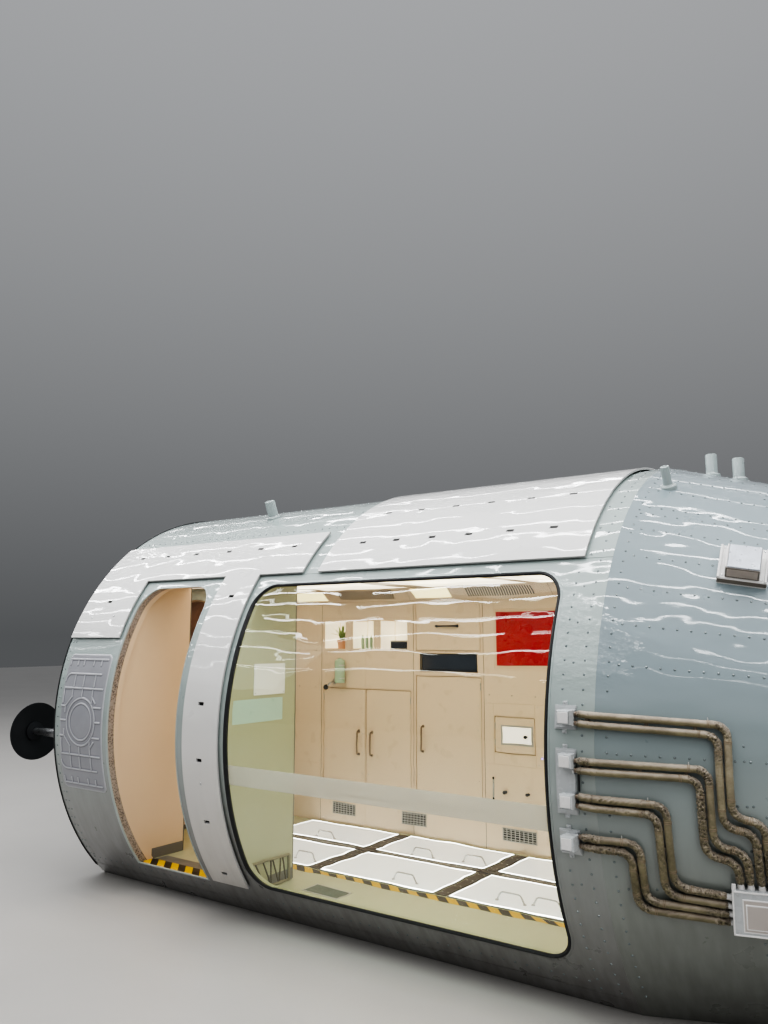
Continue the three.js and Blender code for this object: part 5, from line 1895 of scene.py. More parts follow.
def build_fields():
    """Luminous floor fields with bright edges, each in a dark rail."""
    shape = Shape()
    edge, long, short = LIT_EDGE["in"], LIT_EDGE["long"], LIT_EDGE["short"]
    lit = (FIELD_TOP + 1, FIELD_TOP + 3)
    for x0, x1 in FIELD_COLUMNS:
        for y0, y1 in FIELD_ROWS:
            inner_x = (x0 + edge, x1 - edge)
            add_box(shape, (x0 - 2, x1 + 2), (y0 - 2, y1 + 2), (DECK_TOP + 0.2, FIELD_TOP + 1.6), 0, 1.2)
            add_box(shape, inner_x, (y0 + edge, y1 - edge), (FIELD_TOP, FIELD_TOP + 2.4), 1, 0.8)
            for y in (y0 + edge, y1 - edge - long):
                add_box(shape, inner_x, (y, y + long), lit, 2, 0.3)
            for x in (x0 + edge, x1 - edge - short):
                add_box(shape, (x, x + short), (y0 + edge + long, y1 - edge - long), lit, 2, 0.3)
    shape.make("floor_fields", [RAIL, FLOOR_LIGHT, FLOOR_EDGE], slot="deck_finish")


def build_dividers():
    """Dark strips between the floor fields, with screws."""
    shape = Shape()
    height = (DECK_TOP + 0.1, FIELD_TOP + 1)
    for x0, x1 in FIELD_GAPS:
        for y0, y1 in FIELD_ROWS:
            add_box(shape, (x0 + 12, x1 - 12), (y0 + 2, y1 - 2), height, 0, 1.5)
            screws = np.arange(y0 + 60, y1 - 30, 150)
            corner_screws(shape, (x0 + 30, x1 - 30), screws, shift(0, 0, height[1]), 5.5, 2)
    low_y, high_y = FIELD_ROWS[0][1] + 12, FIELD_ROWS[1][0] - 12
    for x0, x1 in FIELD_COLUMNS:
        add_box(shape, (x0 + 60, x1 - 60), (low_y, high_y), height, 1, 1.5)
        screws = np.arange(x0 + 100, x1 - 60, 190)
        corner_screws(shape, screws, ((low_y + high_y) / 2,), shift(0, 0, height[1]), 5.5, 2)
    for x0, x1 in FIELD_GAPS:
        add_box(shape, (x0 - 50, x1 + 50), (low_y - 1, high_y + 1), (height[0], FIELD_TOP + 2.2), 0, 1.5)
    shape.make("floor_dividers", [DIVIDER, RAIL, STEEL], slot="deck_finish")


def build_deck():
    dress("cabin_deck", DECK)
    build_fields()
    build_dividers()

    tape = Shape()
    add_box(tape, FLOOR_TAPE["x"], FLOOR_TAPE["y"], (DECK_TOP + 0.1, DECK_TOP + 0.9), 0, 0.3)
    tape.make("floor_tape", [HAZARD], slot="deck_finish")

    plate = Shape()
    spot = shift(SOCKET_PLATE["x"], SOCKET_PLATE["y"], DECK_TOP) @ spin(SOCKET_PLATE["turn"])
    add_box(plate, (-150, 150), (-72, 72), (0.1, 2.4), 0, 1, spot)
    add_box(plate, (-138, 138), (-60, 60), (1.0, 3.0), 1, 1, spot)
    corner_screws(plate, (-143, 143), (-65, 65), spot @ shift(0, 0, 2.2), 3.5, 2)
    plate.make("floor_socket_plate", [VENT, SOCKET, STEEL], slot="deck_finish")

    bails = Shape()
    half = BAIL["half"]
    wire = rounded_path([(-half, 0, 0), (-62, 0, 50), (62, 0, 50), (half, 0, 0)], 16)
    for x, y in BAILS:
        add_rod(bails, wire, BAIL["radius"], 10, 0, shift(x, y, FIELD_TOP + 2.2))
        for side in (-half, half):
            add_turned(bails, [(11, -1), (11, 3), (7, 6)], 14, 0, shift(x + side, y, FIELD_TOP + 2.4))
    bails.make("floor_bails", [STEEL], slot="collar_steel")


# Ceiling and cornice
LIT_STARTS = [-1536, -280, 976]
LIT_LENGTH = 367
SLIT = {"edge": 16, "pitch": 21, "width": 11}
GRILLE_SPANS = [(-1040, -457), (216, 799), (1472, 1878)]
CORNICE_SEAMS = np.arange(-1900, 1950, 314)
CEILING_LAMPS = {
    "x": ((-1850, -1000), (-900, -50), (50, 900), (1000, 1850)),
    "y": ((-820, -520), (-260, 40)),
    "rim": 20,
}


def cornice_frame():
    """Local X along the cabin, local Y up the slant and local Z out into the cabin."""
    up = Vector((0, CORNICE_FRONT - WALL_FACE, CEILING - RACK_TOP)).normalized()
    out = Vector((1, 0, 0)).cross(up)
    rows = Matrix((Vector((1, 0, 0)), up, out)).transposed().to_4x4()
    return shift(0, WALL_FACE, RACK_TOP) @ rows


def build_ceiling():
    for name in ("ceiling", "cornice"):
        dress(name, CREAM)
    slant = cornice_frame()
    length = math.hypot(CORNICE_FRONT - WALL_FACE, CEILING - RACK_TOP)
    shape = Shape()
    for x0 in LIT_STARTS:
        x1 = x0 + LIT_LENGTH
        add_box(shape, (x0, x1), (14, length - 10), (0.1, 4), 0, 1.2, slant)
        add_box(shape, (x0 + 12, x1 - 12), (24, length - 20), (2, 5.4), 1, 1, slant)
    for x0, x1 in GRILLE_SPANS:
        add_box(shape, (x0, x1), (22, length - 16), (0.1, 3), 0, 1.2, slant)
        for x in np.arange(x0 + SLIT["edge"], x1 - SLIT["edge"], SLIT["pitch"]):
            # the slits are near-black boxes: painted shade in the openings
            add_box(shape, (x, x + SLIT["width"]), (34, length - 28), (2, 3.6), 2, 0.2, slant)
    # seams as near-black lines: painted shade in the joints
    for x in CORNICE_SEAMS:
        if not any(x0 - 6 < x < x0 + LIT_LENGTH + 6 for x0 in LIT_STARTS):
            add_box(shape, (x - 1, x + 1), (2, length - 2), (0.1, 0.5), 2, 0.1, slant)
    shape.make("cornice_panels", [CREAM, CORNICE_LIGHT, SLIT_SHADE], slot="cabin_paint")

    panels = Shape()
    below = shift(0, 0, CEILING) @ spin(180, "X")
    rim = CEILING_LAMPS["rim"]
    for x0, x1 in CEILING_LAMPS["x"]:
        for y0, y1 in CEILING_LAMPS["y"]:
            add_box(panels, (x0, x1), (-y1, -y0), (0.1, 7), 0, 2, below)
            add_box(panels, (x0 + rim, x1 - rim), (rim - y1, -y0 - rim), (5, 8.5), 1, 1, below)
    # near-black strips between the ceiling panels: painted shade in the joints
    for x in (-950, 0, 950):
        add_box(panels, (x - 2, x + 2), (-340, 1080), (0.1, 1.2), 2, 0.3, below)
    panels.make("ceiling_lights", [CREAM, CEILING_LIGHT, SHADE_BLACK], slot="cabin_paint")


# Back wall of lockers
FASCIA = {"thick": 1.6, "seam": 4.0, "cut": 0.7, "screw_in": 18, "narrow": 100}
RACK_SEAMS = [-1266, -306, 334, 1294]
WALL_STUDS = {"x": np.arange(-1900, 1901, 190), "z": (1296, 1610)}
FASCIAS = [
    # X from and to, Z from and to
    (-1957, -1616, 196, 660),
    (-1616, -1266, 196, 660),
    (-1957, -1616, 660, 1290),
    (-1616, -1266, 660, 1290),
    (-1957, -1266, 1290, 1606),
    (-1957, -1266, 1606, 2022),
    (-1266, -786, 196, 410),
    (-786, -306, 196, 410),
    (-1266, -786, 1300, 1606),
    (-786, -306, 1300, 1606),
    (-1266, -306, 1880, 2022),
    (-1266, -1250, 1606, 1880),
    (-990, -940, 1606, 1880),
    (-690, -650, 1606, 1880),
    (-350, -306, 1606, 1880),
    (-306, 334, 196, 430),
    (-306, 334, 1430, 1453),
    (-306, -246, 1453, 1602),
    (284, 334, 1453, 1602),
    (334, 640, 196, 420),
    (640, 960, 196, 420),
    (960, 1294, 196, 420),
    (334, 960, 420, 794),
    (960, 1294, 420, 794),
    (334, 414, 794, 1236),
    (414, 754, 794, 870),
    (414, 754, 1148, 1236),
    (754, 1294, 794, 1236),
    (334, 1294, 1236, 1488),
    (334, 430, 1488, 2022),
    (1066, 1294, 1488, 2022),
    (430, 1066, 1488, 1500),
    (430, 1066, 1940, 2022),
    (1294, 1957, 196, 430),
    (1294, 1957, 1430, 1612),
]
WALL_VENTS = [(470, 745, 258, 352), (-420, -190, 262, 356), (-1130, -890, 258, 352), (1480, 1755, 258, 352)]
VENT_SIZES = {"rim": 7, "height": 4, "columns": 8, "slats": 5, "slant": 35, "slat_share": 0.34}
LEAVES = [
    # number, X, Z, hinge side, handle
    (1, (-1236, -794), (420, 1290), "left", "upright"),
    (2, (-778, -336), (420, 1290), "right", "upright"),
    (3, (-278, 306), (1622, 2000), "top", "level"),
    (4, (-278, 306), (440, 1420), "right", "upright"),
    (5, (424, 744), (880, 1138), "left", "knob"),
    (6, (1322, 1910), (1622, 2000), "top", "level"),
    (7, (1322, 1910), (440, 1420), "right", "upright"),
]
LEAF_SIZES = {"thickness": 18, "rim": 13, "lift": 1.2, "screw_in": 24, "screw_pitch": 180, "clear": 12}
KNUCKLE = {"radius": 4.2, "top": (80, 30), "side": (70, 28)}  # distance from the corner, half of the length
PULL = {"half": 95, "reach": 31, "radius": 6.8, "edge": 60}
HANDLE_LOOKS = {"knob": KNOB, "level": BLACK, "upright": BRONZE}


def on_wall(x=0.0, z=0.0, y=WALL_FACE):
    """A frame on the lockers' front: local X along +X, local Y up, local Z out into the cabin."""
    return facing_near(x, y, z)


def add_vent(shape, x, y, matrix):
    """A frame with uprights and slanted slats, over a near-black back that is painted shade behind the
    slats.
    """
    x0, x1 = x
    y0, y1 = y
    rim, height, columns, slats = [VENT_SIZES[key] for key in ("rim", "height", "columns", "slats")]
    for side in ((y0, y0 + rim), (y1 - rim, y1)):
        add_box(shape, x, side, (-1, height), 2, 1.2, matrix)
    for side in ((x0, x0 + rim), (x1 - rim, x1)):
        add_box(shape, side, y, (-1, height), 2, 1.2, matrix)
    # painted shade behind the slats
    add_box(shape, (x0 + 2, x1 - 2), (y0 + 2, y1 - 2), (0.1, 0.8), 3, 0.2, matrix)
    for middle in np.linspace(x0, x1, columns + 1)[1:-1]:
        add_box(shape, (middle - 4, middle + 4), (y0 + 2, y1 - 2), (-1, height * 0.9), 2, 1, matrix)
    pitch = (y1 - y0 - 2 * rim) / slats
    half = pitch * VENT_SIZES["slat_share"]
    for row in range(slats):
        middle = y0 + rim + pitch * (row + 0.5)
        slat = matrix @ shift(0, middle, height * 0.45) @ spin(VENT_SIZES["slant"], "X")
        add_box(shape, (x0 + 4, x1 - 4), (-half, half), (-0.7, 0.7), 2, 0.3, slat)


def near_leaf(x, z):
    """True for a place on a leaf or close to its edge."""
    clear = LEAF_SIZES["clear"]
    for _, (x0, x1), (z0, z1), _, _ in LEAVES:
        if x0 - clear < x < x1 + clear and z0 - clear < z < z1 + clear:
            return True
    return False


def build_racks():
    for number in range(1, 6):
        dress(f"rack_{number}", CREAM)
    shape = Shape()
    wall = on_wall()
    thick, half, inset = FASCIA["thick"], FASCIA["seam"] / 2, FASCIA["screw_in"]
    face = wall @ shift(0, 0, thick)
    for x0, x1, z0, z1 in FASCIAS:
        across, up = (x0 + half, x1 - half), (z0 + half, z1 - half)
        add_box(shape, across, up, (-0.5, thick), 0, FASCIA["cut"], wall)
        if min(x1 - x0, z1 - z0) > FASCIA["narrow"]:
            corner_screws(shape, (x0 + inset, x1 - inset), (z0 + inset, z1 - inset), face, 3.2, 1)
    for x0, x1, z0, z1 in WALL_VENTS:
        add_vent(shape, (x0, x1), (z0, z1), face)
    shape.make("wall_fascias", [CREAM_DOOR, STEEL, VENT, SHADE_BLACK], slot="cabin_paint")

    seams = Shape()
    # near-black strips on the rack seams: painted shade of the gaps between racks
    for x in RACK_SEAMS:
        add_box(seams, (x - 1.6, x + 1.6), (190, RACK_TOP - 2), (-0.4, 0.5), 0, 0.2, wall)
    for x in WALL_STUDS["x"]:
        for z in WALL_STUDS["z"]:
            if not near_leaf(x, z):
                add_turned(seams, [(4, -0.3), (4, 0.6)], 12, 0, on_wall(x, z) @ shift(0, 0, thick))
    seams.make("wall_seams", [SHADE_BLACK], slot="cabin_paint")


def add_knuckles(shape, x, z, hinge):
    """Hinge knuckles near both ends of the edge on which a leaf turns."""
    inset, half = KNUCKLE["top" if hinge == "top" else "side"]
    if hinge == "top":
        for middle in (x[0] + inset, x[1] - inset):
            path = [(middle - half, WALL_FACE, z[1]), (middle + half, WALL_FACE, z[1])]
            add_rod(shape, path, KNUCKLE["radius"], 12, 1)
    else:
        edge = x[0] if hinge == "left" else x[1]
        for middle in (z[0] + inset, z[1] - inset):
            path = [(edge, WALL_FACE, middle - half), (edge, WALL_FACE, middle + half)]
            add_rod(shape, path, KNUCKLE["radius"], 12, 1)


def add_handle(shape, handle, matrix):
    """A round knob, or a bow that stands upright or lies level."""
    if handle == "knob":
        knob = [(11, 0), (11, 3), (6, 6), (6, 16), (11, 22), (14, 28), (13.5, 34), (9, 38)]
        add_turned(shape, knob, 28, 2, matrix)
        return
    here = matrix @ spin(90 if handle == "upright" else 0)
    half, reach = PULL["half"], PULL["reach"]
    bow = rounded_path([(-half, 0, 0), (-half, 0, reach), (half, 0, reach), (half, 0, 0)], 16)
    add_rod(shape, bow, PULL["radius"], 14, 2, here)
    for side in (-half, half):
        add_turned(shape, [(11, 0), (11, 3), (8, 6)], 20, 2, here @ shift(side, 0, 1))


def build_leaf(number, x, z, hinge, handle):
    """A locker door or flap with a folded rim, screws, knuckles and its handle."""
    x0, x1 = x
    z0, z1 = z
    rim, lift, inset = LEAF_SIZES["rim"], LEAF_SIZES["lift"], LEAF_SIZES["screw_in"]
    shape = Shape()
    add_box(shape, x, z, (-LEAF_SIZES["thickness"], 0), 0, 2.2, on_wall())
    add_box(shape, (x0 + rim, x1 - rim), (z0 + rim, z1 - rim), (-1, lift), 0, 1.0, on_wall())
    across, up = [
        np.linspace(low + inset, high - inset, max(2, round((high - low) / LEAF_SIZES["screw_pitch"]) + 1))
        for low, high in (x, z)
    ]
    face = on_wall() @ shift(0, 0, lift)
    corner_screws(shape, across, (z0 + inset, z1 - inset), face, 3.4, 1)
    corner_screws(shape, (x0 + inset, x1 - inset), up[1:-1], face, 3.4, 1)
    add_knuckles(shape, x, z, hinge)
    grip = {"left": x1 - PULL["edge"], "right": x0 + PULL["edge"], "top": (x0 + x1) / 2}[hinge]
    add_handle(shape, handle, on_wall(grip, (z0 + z1) / 2))
    shape.make(
        f"locker_leaf_skin_{number}",
        [CREAM_DOOR, STEEL, HANDLE_LOOKS[handle]],
        body=f"locker_leaf_{number}",
        replaces=[f"locker_door_{number}"],
        slot="cabin_paint",
    )


SHELF = {"in": 26, "front": WALL_FACE + 40, "back": WALL_FACE + 328, "half": 6, "lip": 16, "tall_leaf": 600}
BIN = {"width": 230, "height": 150, "headroom": 80, "step": 18, "half": 0.42, "lid_half": 0.44}


def build_shelves():
    """Shelves and folded bins inside the lockers, which show when a door is open."""
    shape = Shape()
    front, back, half = SHELF["front"], SHELF["back"], SHELF["half"]
    for number, (x0, x1), (z0, z1), _, _ in LEAVES:
        inner_x = (x0 + SHELF["in"], x1 - SHELF["in"])
        wide = inner_x[1] - inner_x[0]
        levels = 3 if z1 - z0 > SHELF["tall_leaf"] else 1
        storey = (z1 - z0) / levels
        for level in range(1, levels):
            z = z0 + storey * level
            add_box(shape, inner_x, (front, back), (z - half, z + half), 0, 1.5)
            add_box(shape, inner_x, (front - 2, front + 2), (z - half, z + SHELF["lip"]), 1, 1)
        count = max(1, int(wide / BIN["width"]))
        body, lid = [wide / count * BIN[key] for key in ("half", "lid_half")]
        for level in range(levels):
            foot = z0 + storey * level + 6.5 if level else z0 + 26
            for b in range(count):
                middle = inner_x[0] + wide * (b + 0.5) / count
                shorter = BIN["step"] * ((b + level + number) % 3)
                top = foot + min(BIN["height"], storey - BIN["headroom"]) - shorter
                body_x, lid_x = (middle - body, middle + body), (middle - lid, middle + lid)
                add_box(shape, body_x, (front + 30, back - 30), (foot, top), 2, 7)
                add_box(shape, lid_x, (front + 26, back - 26), (top - 3, top + 12), 3, 4)
    shape.make("locker_shelves", [CREAM, RAIL, FABRIC_BIN, VENT], slot="cabin_paint")


# Things on the back wall
RED_PANEL = {"x": (449, 1045), "z": (1522, 1919)}
SCREEN_FIELD = {"x": (-236, 274), "z": (1463, 1592)}
LIT_PANE = {"x": (487, 720), "z": (946, 1066), "frame": 14}
INDICATOR = (800, 858)
SMALL_SLOT = {"x": (395, 409), "z": 616, "half": 80, "end": 76}
KNOBS = [(503, 598), (686, 600)]
ARM = [(-1120, WALL_FACE, 1345), (-1120, WALL_FACE - 55, 1340), (-1166, WALL_FACE - 60, 1302)]
BALL = {"radius": 23, "centre": (-1166, WALL_FACE - 60, 1301)}
BOTTLE = {"foot": (-1024, WALL_FACE - 52, 1339), "clips": (40, 150), "clip_radius": 47}


def build_screen(wall):
    """A dark screen set back in its bay, in a raised frame."""
    x0, x1 = SCREEN_FIELD["x"]
    z0, z1 = SCREEN_FIELD["z"]
    shape = Shape()
    add_box(shape, (x0 + 1, x1 - 1), (z0 + 1, z1 - 1), (-40, -14), 0, 2, wall)
    add_box(shape, (x0 + 12, x1 - 12), (z0 + 10, z1 - 10), (-15, -10), 1, 1.5, wall)
    for z in (z0, z1):
        add_box(shape, (x0 - 8, x1 + 8), (z - 5, z + 5), (-2, 4), 0, 1.5, wall)
    for x in (x0, x1):
        add_box(shape, (x - 5, x + 5), (z0 - 4, z1 + 4), (-2, 4), 0, 1.5, wall)
    shape.make("wall_screen", [BLACK, SCREEN], slot="black_paint")


def build_controls(wall):
    """Indicator lamp, upright slot with its two ends, and knobs."""
    shape = Shape()
    add_turned(shape, [(9, 0), (9, 3), (7, 5)], 20, 0, on_wall(*INDICATOR))
    add_turned(shape, [(6, 3), (6, 6), (4, 8)], 20, 1, on_wall(*INDICATOR))
    x, z, half = SMALL_SLOT["x"], SMALL_SLOT["z"], SMALL_SLOT["half"]
    add_box(shape, x, (z - half, z + half), (1, 5), 0, 2, wall)
    for end in (z - SMALL_SLOT["end"], z + SMALL_SLOT["end"]):
        add_box(shape, x, (end - 10, end + 10), (1, 7), 2, 2, wall)
    knob = [(12, 0), (12, 3), (7, 6), (7, 14), (12, 19), (14, 25), (13, 31), (8, 34)]
    for place_at in KNOBS:
        add_turned(shape, knob, 24, 2, on_wall(*place_at))
    shape.make("wall_controls", [STEEL, PURPLE, KNOB], slot="cabin_paint")


def build_wall_fittings():
    wall = on_wall()
    panel = Shape()
    add_box(panel, RED_PANEL["x"], RED_PANEL["z"], (-0.4, 5), 0, 1.5, wall)
    panel.make("wall_red_panel", [RED], slot="cabin_paint")
    build_screen(wall)

    # lit window in the small door
    pane = Shape()
    edge = LIT_PANE["frame"]
    frame_x, frame_z = [(low - edge, high + edge) for low, high in (LIT_PANE["x"], LIT_PANE["z"])]
    add_box(pane, frame_x, frame_z, (1.0, 3.2), 0, 1.2, wall)
    add_box(pane, LIT_PANE["x"], LIT_PANE["z"], (2.4, 4.4), 1, 1, wall)
    pane.make("locker_lit_pane", [VENT, PANE_LIGHT], body="locker_leaf_5", slot="cabin_paint")
    build_controls(wall)

    # arm with a ball grip over the first locker door
    arm = Shape()
    add_turned(arm, [(26, 0), (26, 5), (20, 9), (9, 11)], 28, 0, on_wall(ARM[0][0], ARM[0][2]))
    add_rod(arm, rounded_path(ARM, 18), 8, 14, 0)
    turns = np.radians(np.linspace(-85, 85, 14))
    ball = [(BALL["radius"] * math.cos(t), BALL["radius"] * math.sin(t)) for t in turns]
    add_turned(arm, ball, 24, 1, shift(*BALL["centre"]))
    arm.make("wall_arm", [STEEL, KNOB], slot="collar_steel")

    # green bottle in its two clips
    bottle = Shape()
    profile = [(40, 0), (44, 3), (44, 172), (40, 186), (24, 196), (15, 200), (15, 208)]
    stand = shift(*BOTTLE["foot"])
    add_turned(bottle, profile, 36, 0, stand)
    reach = BOTTLE["clip_radius"]
    for z in BOTTLE["clips"]:
        turns = np.radians(np.linspace(-60, 240, 26))
        add_rod(bottle, [(reach * math.cos(t), reach * math.sin(t), z) for t in turns], 3, 8, 1, stand)
        add_box(bottle, (-10, 10), (44, 51.6), (z - 9, z + 9), 1, 1.5, stand)
    bottle.make("wall_bottle", [GREEN, STEEL], slot="cabin_paint")


NICHE_FLOOR = 1616
NICHE_TOP = 1870
NICHE_DEPTH = 220
NICHES = [(-1240, -1000), (-930, -700), (-640, -360)]
FLASKS = np.arange(-900, -720, 44)
PLANT_SEED = 7
PLANT = {"x": -1120, "leaves": 46, "length": (135, 182), "lean": (0.1, 0.95), "fan": 0.85, "width": 7.5}


def build_niches():
    """Lit linings, frames and the things in the niches."""
    shape = Shape()
    wall = on_wall()
    z0, z1 = NICHE_FLOOR, NICHE_TOP
    back = on_wall(y=WALL_FACE + NICHE_DEPTH)
    for x0, x1 in NICHES:
        add_box(shape, (x0 + 6, x1 - 6), (z0 + 6, z1 - 6), (0.2, 3), 1, 1, back)
        side_y = (WALL_FACE + 10, WALL_FACE + NICHE_DEPTH - 4)
        add_box(shape, (x0 + 0.3, x0 + 3), side_y, (z0 + 9, z1 - 9), 1, 1)
        for z in ((z0 - 8, z0 + 6), (z1 - 6, z1 + 8)):
            add_box(shape, (x0 - 8, x1 + 8), z, (-1, 3), 0, 1.5, wall)
        for x in ((x0 - 8, x0 + 6), (x1 - 6, x1 + 8)):
            add_box(shape, x, (z0 + 4, z1 - 4), (-1, 3), 0, 1.5, wall)
    foot = NICHE_FLOOR + 0.5
    flask = [(15, 0), (15, 96), (12, 104), (7, 108), (7, 120)]
    for x in FLASKS:
        add_turned(shape, flask, 20, 2, shift(x, WALL_FACE + 110, foot))
    add_box(shape, (-600, -400), (WALL_FACE + 90, WALL_FACE + 180), (foot, 1700), 3, 5)
    add_box(shape, (-590, -410), (WALL_FACE + 86, WALL_FACE + 92), (1630, 1690), 4, 2)
    shape.make("niche_fittings", [CREAM_DOOR, NICHE_LIGHT, GREEN, VENT, SCREEN], slot="cabin_paint")


def build_plant():
    """A pot with narrow leaves that lean outwards and bend over."""
    pot = Shape()
    foot = shift(PLANT["x"], WALL_FACE + 100, NICHE_FLOOR + 0.4)
    add_turned(pot, [(34, 0), (45, 66), (49, 66), (50, 82), (44, 82), (42, 70), (0, 70)], 32, 0, foot)
    add_turned(pot, [(42, 69), (30, 74), (0, 75)], 24, 1, foot)
    seeded = random.Random(PLANT_SEED)
    for _ in range(PLANT["leaves"]):
        turn = seeded.uniform(0, 2 * math.pi)
        lean = seeded.uniform(*PLANT["lean"])
        length = seeded.uniform(*PLANT["length"]) * (1 - 0.35 * lean)
        outwards = Vector((math.cos(turn), math.sin(turn), 0))
        across = Vector((-math.sin(turn), math.cos(turn), 0))
        start = outwards * seeded.uniform(2, 24)
        rows = []
        for t in np.linspace(0, 1, 8):
            out = start + outwards * (length * lean * t * t * PLANT["fan"])
            up = length * (t - 0.42 * lean * t * t)
            side = across * (PLANT["width"] * math.sin(math.pi * min(1.0, 0.12 + 0.88 * t) ** 0.8) + 0.3)
            centre = Vector((out.x, out.y, 72 + up))
            under, over = centre + Vector((0, 0, -1.6)), centre + Vector((0, 0, 0.6))
            rows.append([centre - side, under, centre + side, over])
        add_grid(pot, rows, 2, close_columns=True, caps=True, matrix=foot)
    pot.make("niche_plant", [POT, SOIL, LEAF], slot="cabin_paint")


# Partitions and the end walls of the cabin
NOTICE = {"y": (-1321, -1035), "z": (1363, 1558), "screws": ((-1308, -1048), (1376, 1545))}
TEAL_FIELD = {"y": (-1500, -1053), "z": (1198, 1341)}
GRILLE_CORNERS = [(-1320, 352), (-975, 345), (-975, 193), (-1243, 193)]
GRILLE_BARS = [
    # where each bar ends along the top and the lower edge, as shares of the edge
    (0.12, 0.22),
    (0.32, 0.42),
    (0.53, 0.42),
    (0.57, 0.68),
    (0.79, 0.70),
    (0.84, 0.93),
]
ARCH = {"y": (-650, -60), "foot": 1215, "spring": 1735}
AFT_PANELS = [((-1180, -700), 2090), ((-20, 470), 2090), ((-680, -40), 1190)]
LINER_COLUMNS = [(-470, 0), (4, 470), (474, 940), (944, 1250)]
LINER_ROWS = [(220, 860), (864, 1500), (1504, 2090)]


def build_partitions():
    dress("partition_forward", PALE)
    dress("partition_aft", WARM)
    face = node_box("partition_forward")[1].x
    side = facing_end(face, 90)
    notice = Shape()
    add_box(notice, NOTICE["y"], NOTICE["z"], (-0.4, 3), 0, 1.2, side)
    corner_screws(notice, *NOTICE["screws"], side @ shift(0, 0, 3), 4, 1)
    notice.make("notice_plate", [PAPER, STEEL], slot="cabin_paint")
    film = Shape()
    add_box(film, TEAL_FIELD["y"], TEAL_FIELD["z"], (-0.2, 0.6), 0, 0.2, side)
    film.make("partition_film", [TEAL], slot="cabin_paint")
    build_grille(face)

    trims = Shape()
    for name in ("partition_forward", "partition_aft"):
        low, high = node_box(name)
        add_box(trims, (low.x - 3, high.x + 3), (high.y + 0.3, high.y + 9), (low.z + 1, high.z - 1), 0, 3)
        add_box(trims, (low.x - 2.4, high.x + 2.4), (-1160, high.y - 1), (low.z + 0.2, low.z + 70), 0, 1.5)
    trims.make("partition_trims", [RAIL], slot="deck_finish")


def build_grille(face):
    """Square frame low on the partition, with slanted bars in it."""
    grille = Shape()
    for (y0, z0), (y1, z1) in zip(GRILLE_CORNERS, GRILLE_CORNERS[1:] + GRILLE_CORNERS[:1]):
        add_rod(grille, [(face + 10, y0, z0), (face + 10, y1, z1)], 10, 4, 0)
    top_left, top_right, low_right, low_left = [Vector((face + 5, y, z)) for y, z in GRILLE_CORNERS]
    for high, low in GRILLE_BARS:
        ends = [top_left.lerp(top_right, high), low_left.lerp(low_right, low)]
        add_rod(grille, ends, 5, 8, 2)
    sheet = [[(face + lift, y, z) for y, z in GRILLE_CORNERS] for lift in (0.2, 1.6)]
    add_grid(grille, sheet, 1, close_columns=True, caps=True)
    grille.make("partition_grille", [OLIVE_FRAME, PALE, OLIVE_METAL], slot="collar_steel")


def build_end_walls():
    """Arched print and panels at the aft end, and wall panels at the forward end."""
    aft = facing_end(-CABIN_END, 90)
    picture = Shape()
    left, right = ARCH["y"]
    middle, half = (left + right) / 2, (right - left) / 2
    arch = [(left, ARCH["foot"]), (right, ARCH["foot"])]
    for t in np.radians(np.linspace(0, 180, 36)):
        arch.append((middle + half * math.cos(t), ARCH["spring"] + half * math.sin(t)))
    rows = [[(y, z, lift) for y, z in arch] for lift in (0.4, 6)]
    add_grid(picture, rows, 0, close_columns=True, caps=True, matrix=aft)
    add_rod(picture, [(y, z, 6) for y, z in arch + arch[:1]], 9, 10, 1, aft)
    picture.make("aft_picture", [PRINT, BRONZE], slot="cabin_paint")
    panels = Shape()
    for y, top in AFT_PANELS:
        add_box(panels, y, (220, top), (0.3, 5), 0, 2, aft)
    panels.make("aft_wall_panels", [WARM], slot="cabin_paint")

    dress("forward_bulkhead", CONE, extra=(CREAM,))
    forward = facing_end(CABIN_END, -90)
    liners = Shape()
    for y0, y1 in LINER_COLUMNS:
        for z0, z1 in LINER_ROWS:
            add_box(liners, (y0 + 2, y1 - 2), (z0, z1), (0.4, 7), 0, 2, forward)
            places = (y0 + 24, y1 - 24), (z0 + 22, z1 - 22)
            corner_screws(liners, *places, forward @ shift(0, 0, 7), 4, 1)
    add_box(liners, (120, 820), (1000, 1380), (7, 12), 2, 3, forward)
    liners.make("forward_wall_panels", [CREAM_DOOR, STEEL, PALE], slot="cabin_paint")


CRADLE_BOLTS = {"places": (-560, -390, -130, 130, 390, 560), "reach": 24, "face": 14}


def build_cradle():
    """Saddle under the narrow section, bolted down through its foot."""
    dress("forward_cradle", FIXING, 3)
    low, high = node_box("forward_cradle")
    shape = Shape()
    for x in (low.x + CRADLE_BOLTS["reach"], high.x - CRADLE_BOLTS["reach"]):
        for y in CRADLE_BOLTS["places"]:
            foot = shift(x, y, CRADLE_BOLTS["face"])
            add_turned(shape, [(22, -1), (22, 3), (19, 4)], 24, 0, foot)
            add_turned(shape, [(13, 3), (13, 12), (10, 15)], 6, 0, foot)
    shape.make("cradle_bolts", [STEEL], slot="collar_steel")


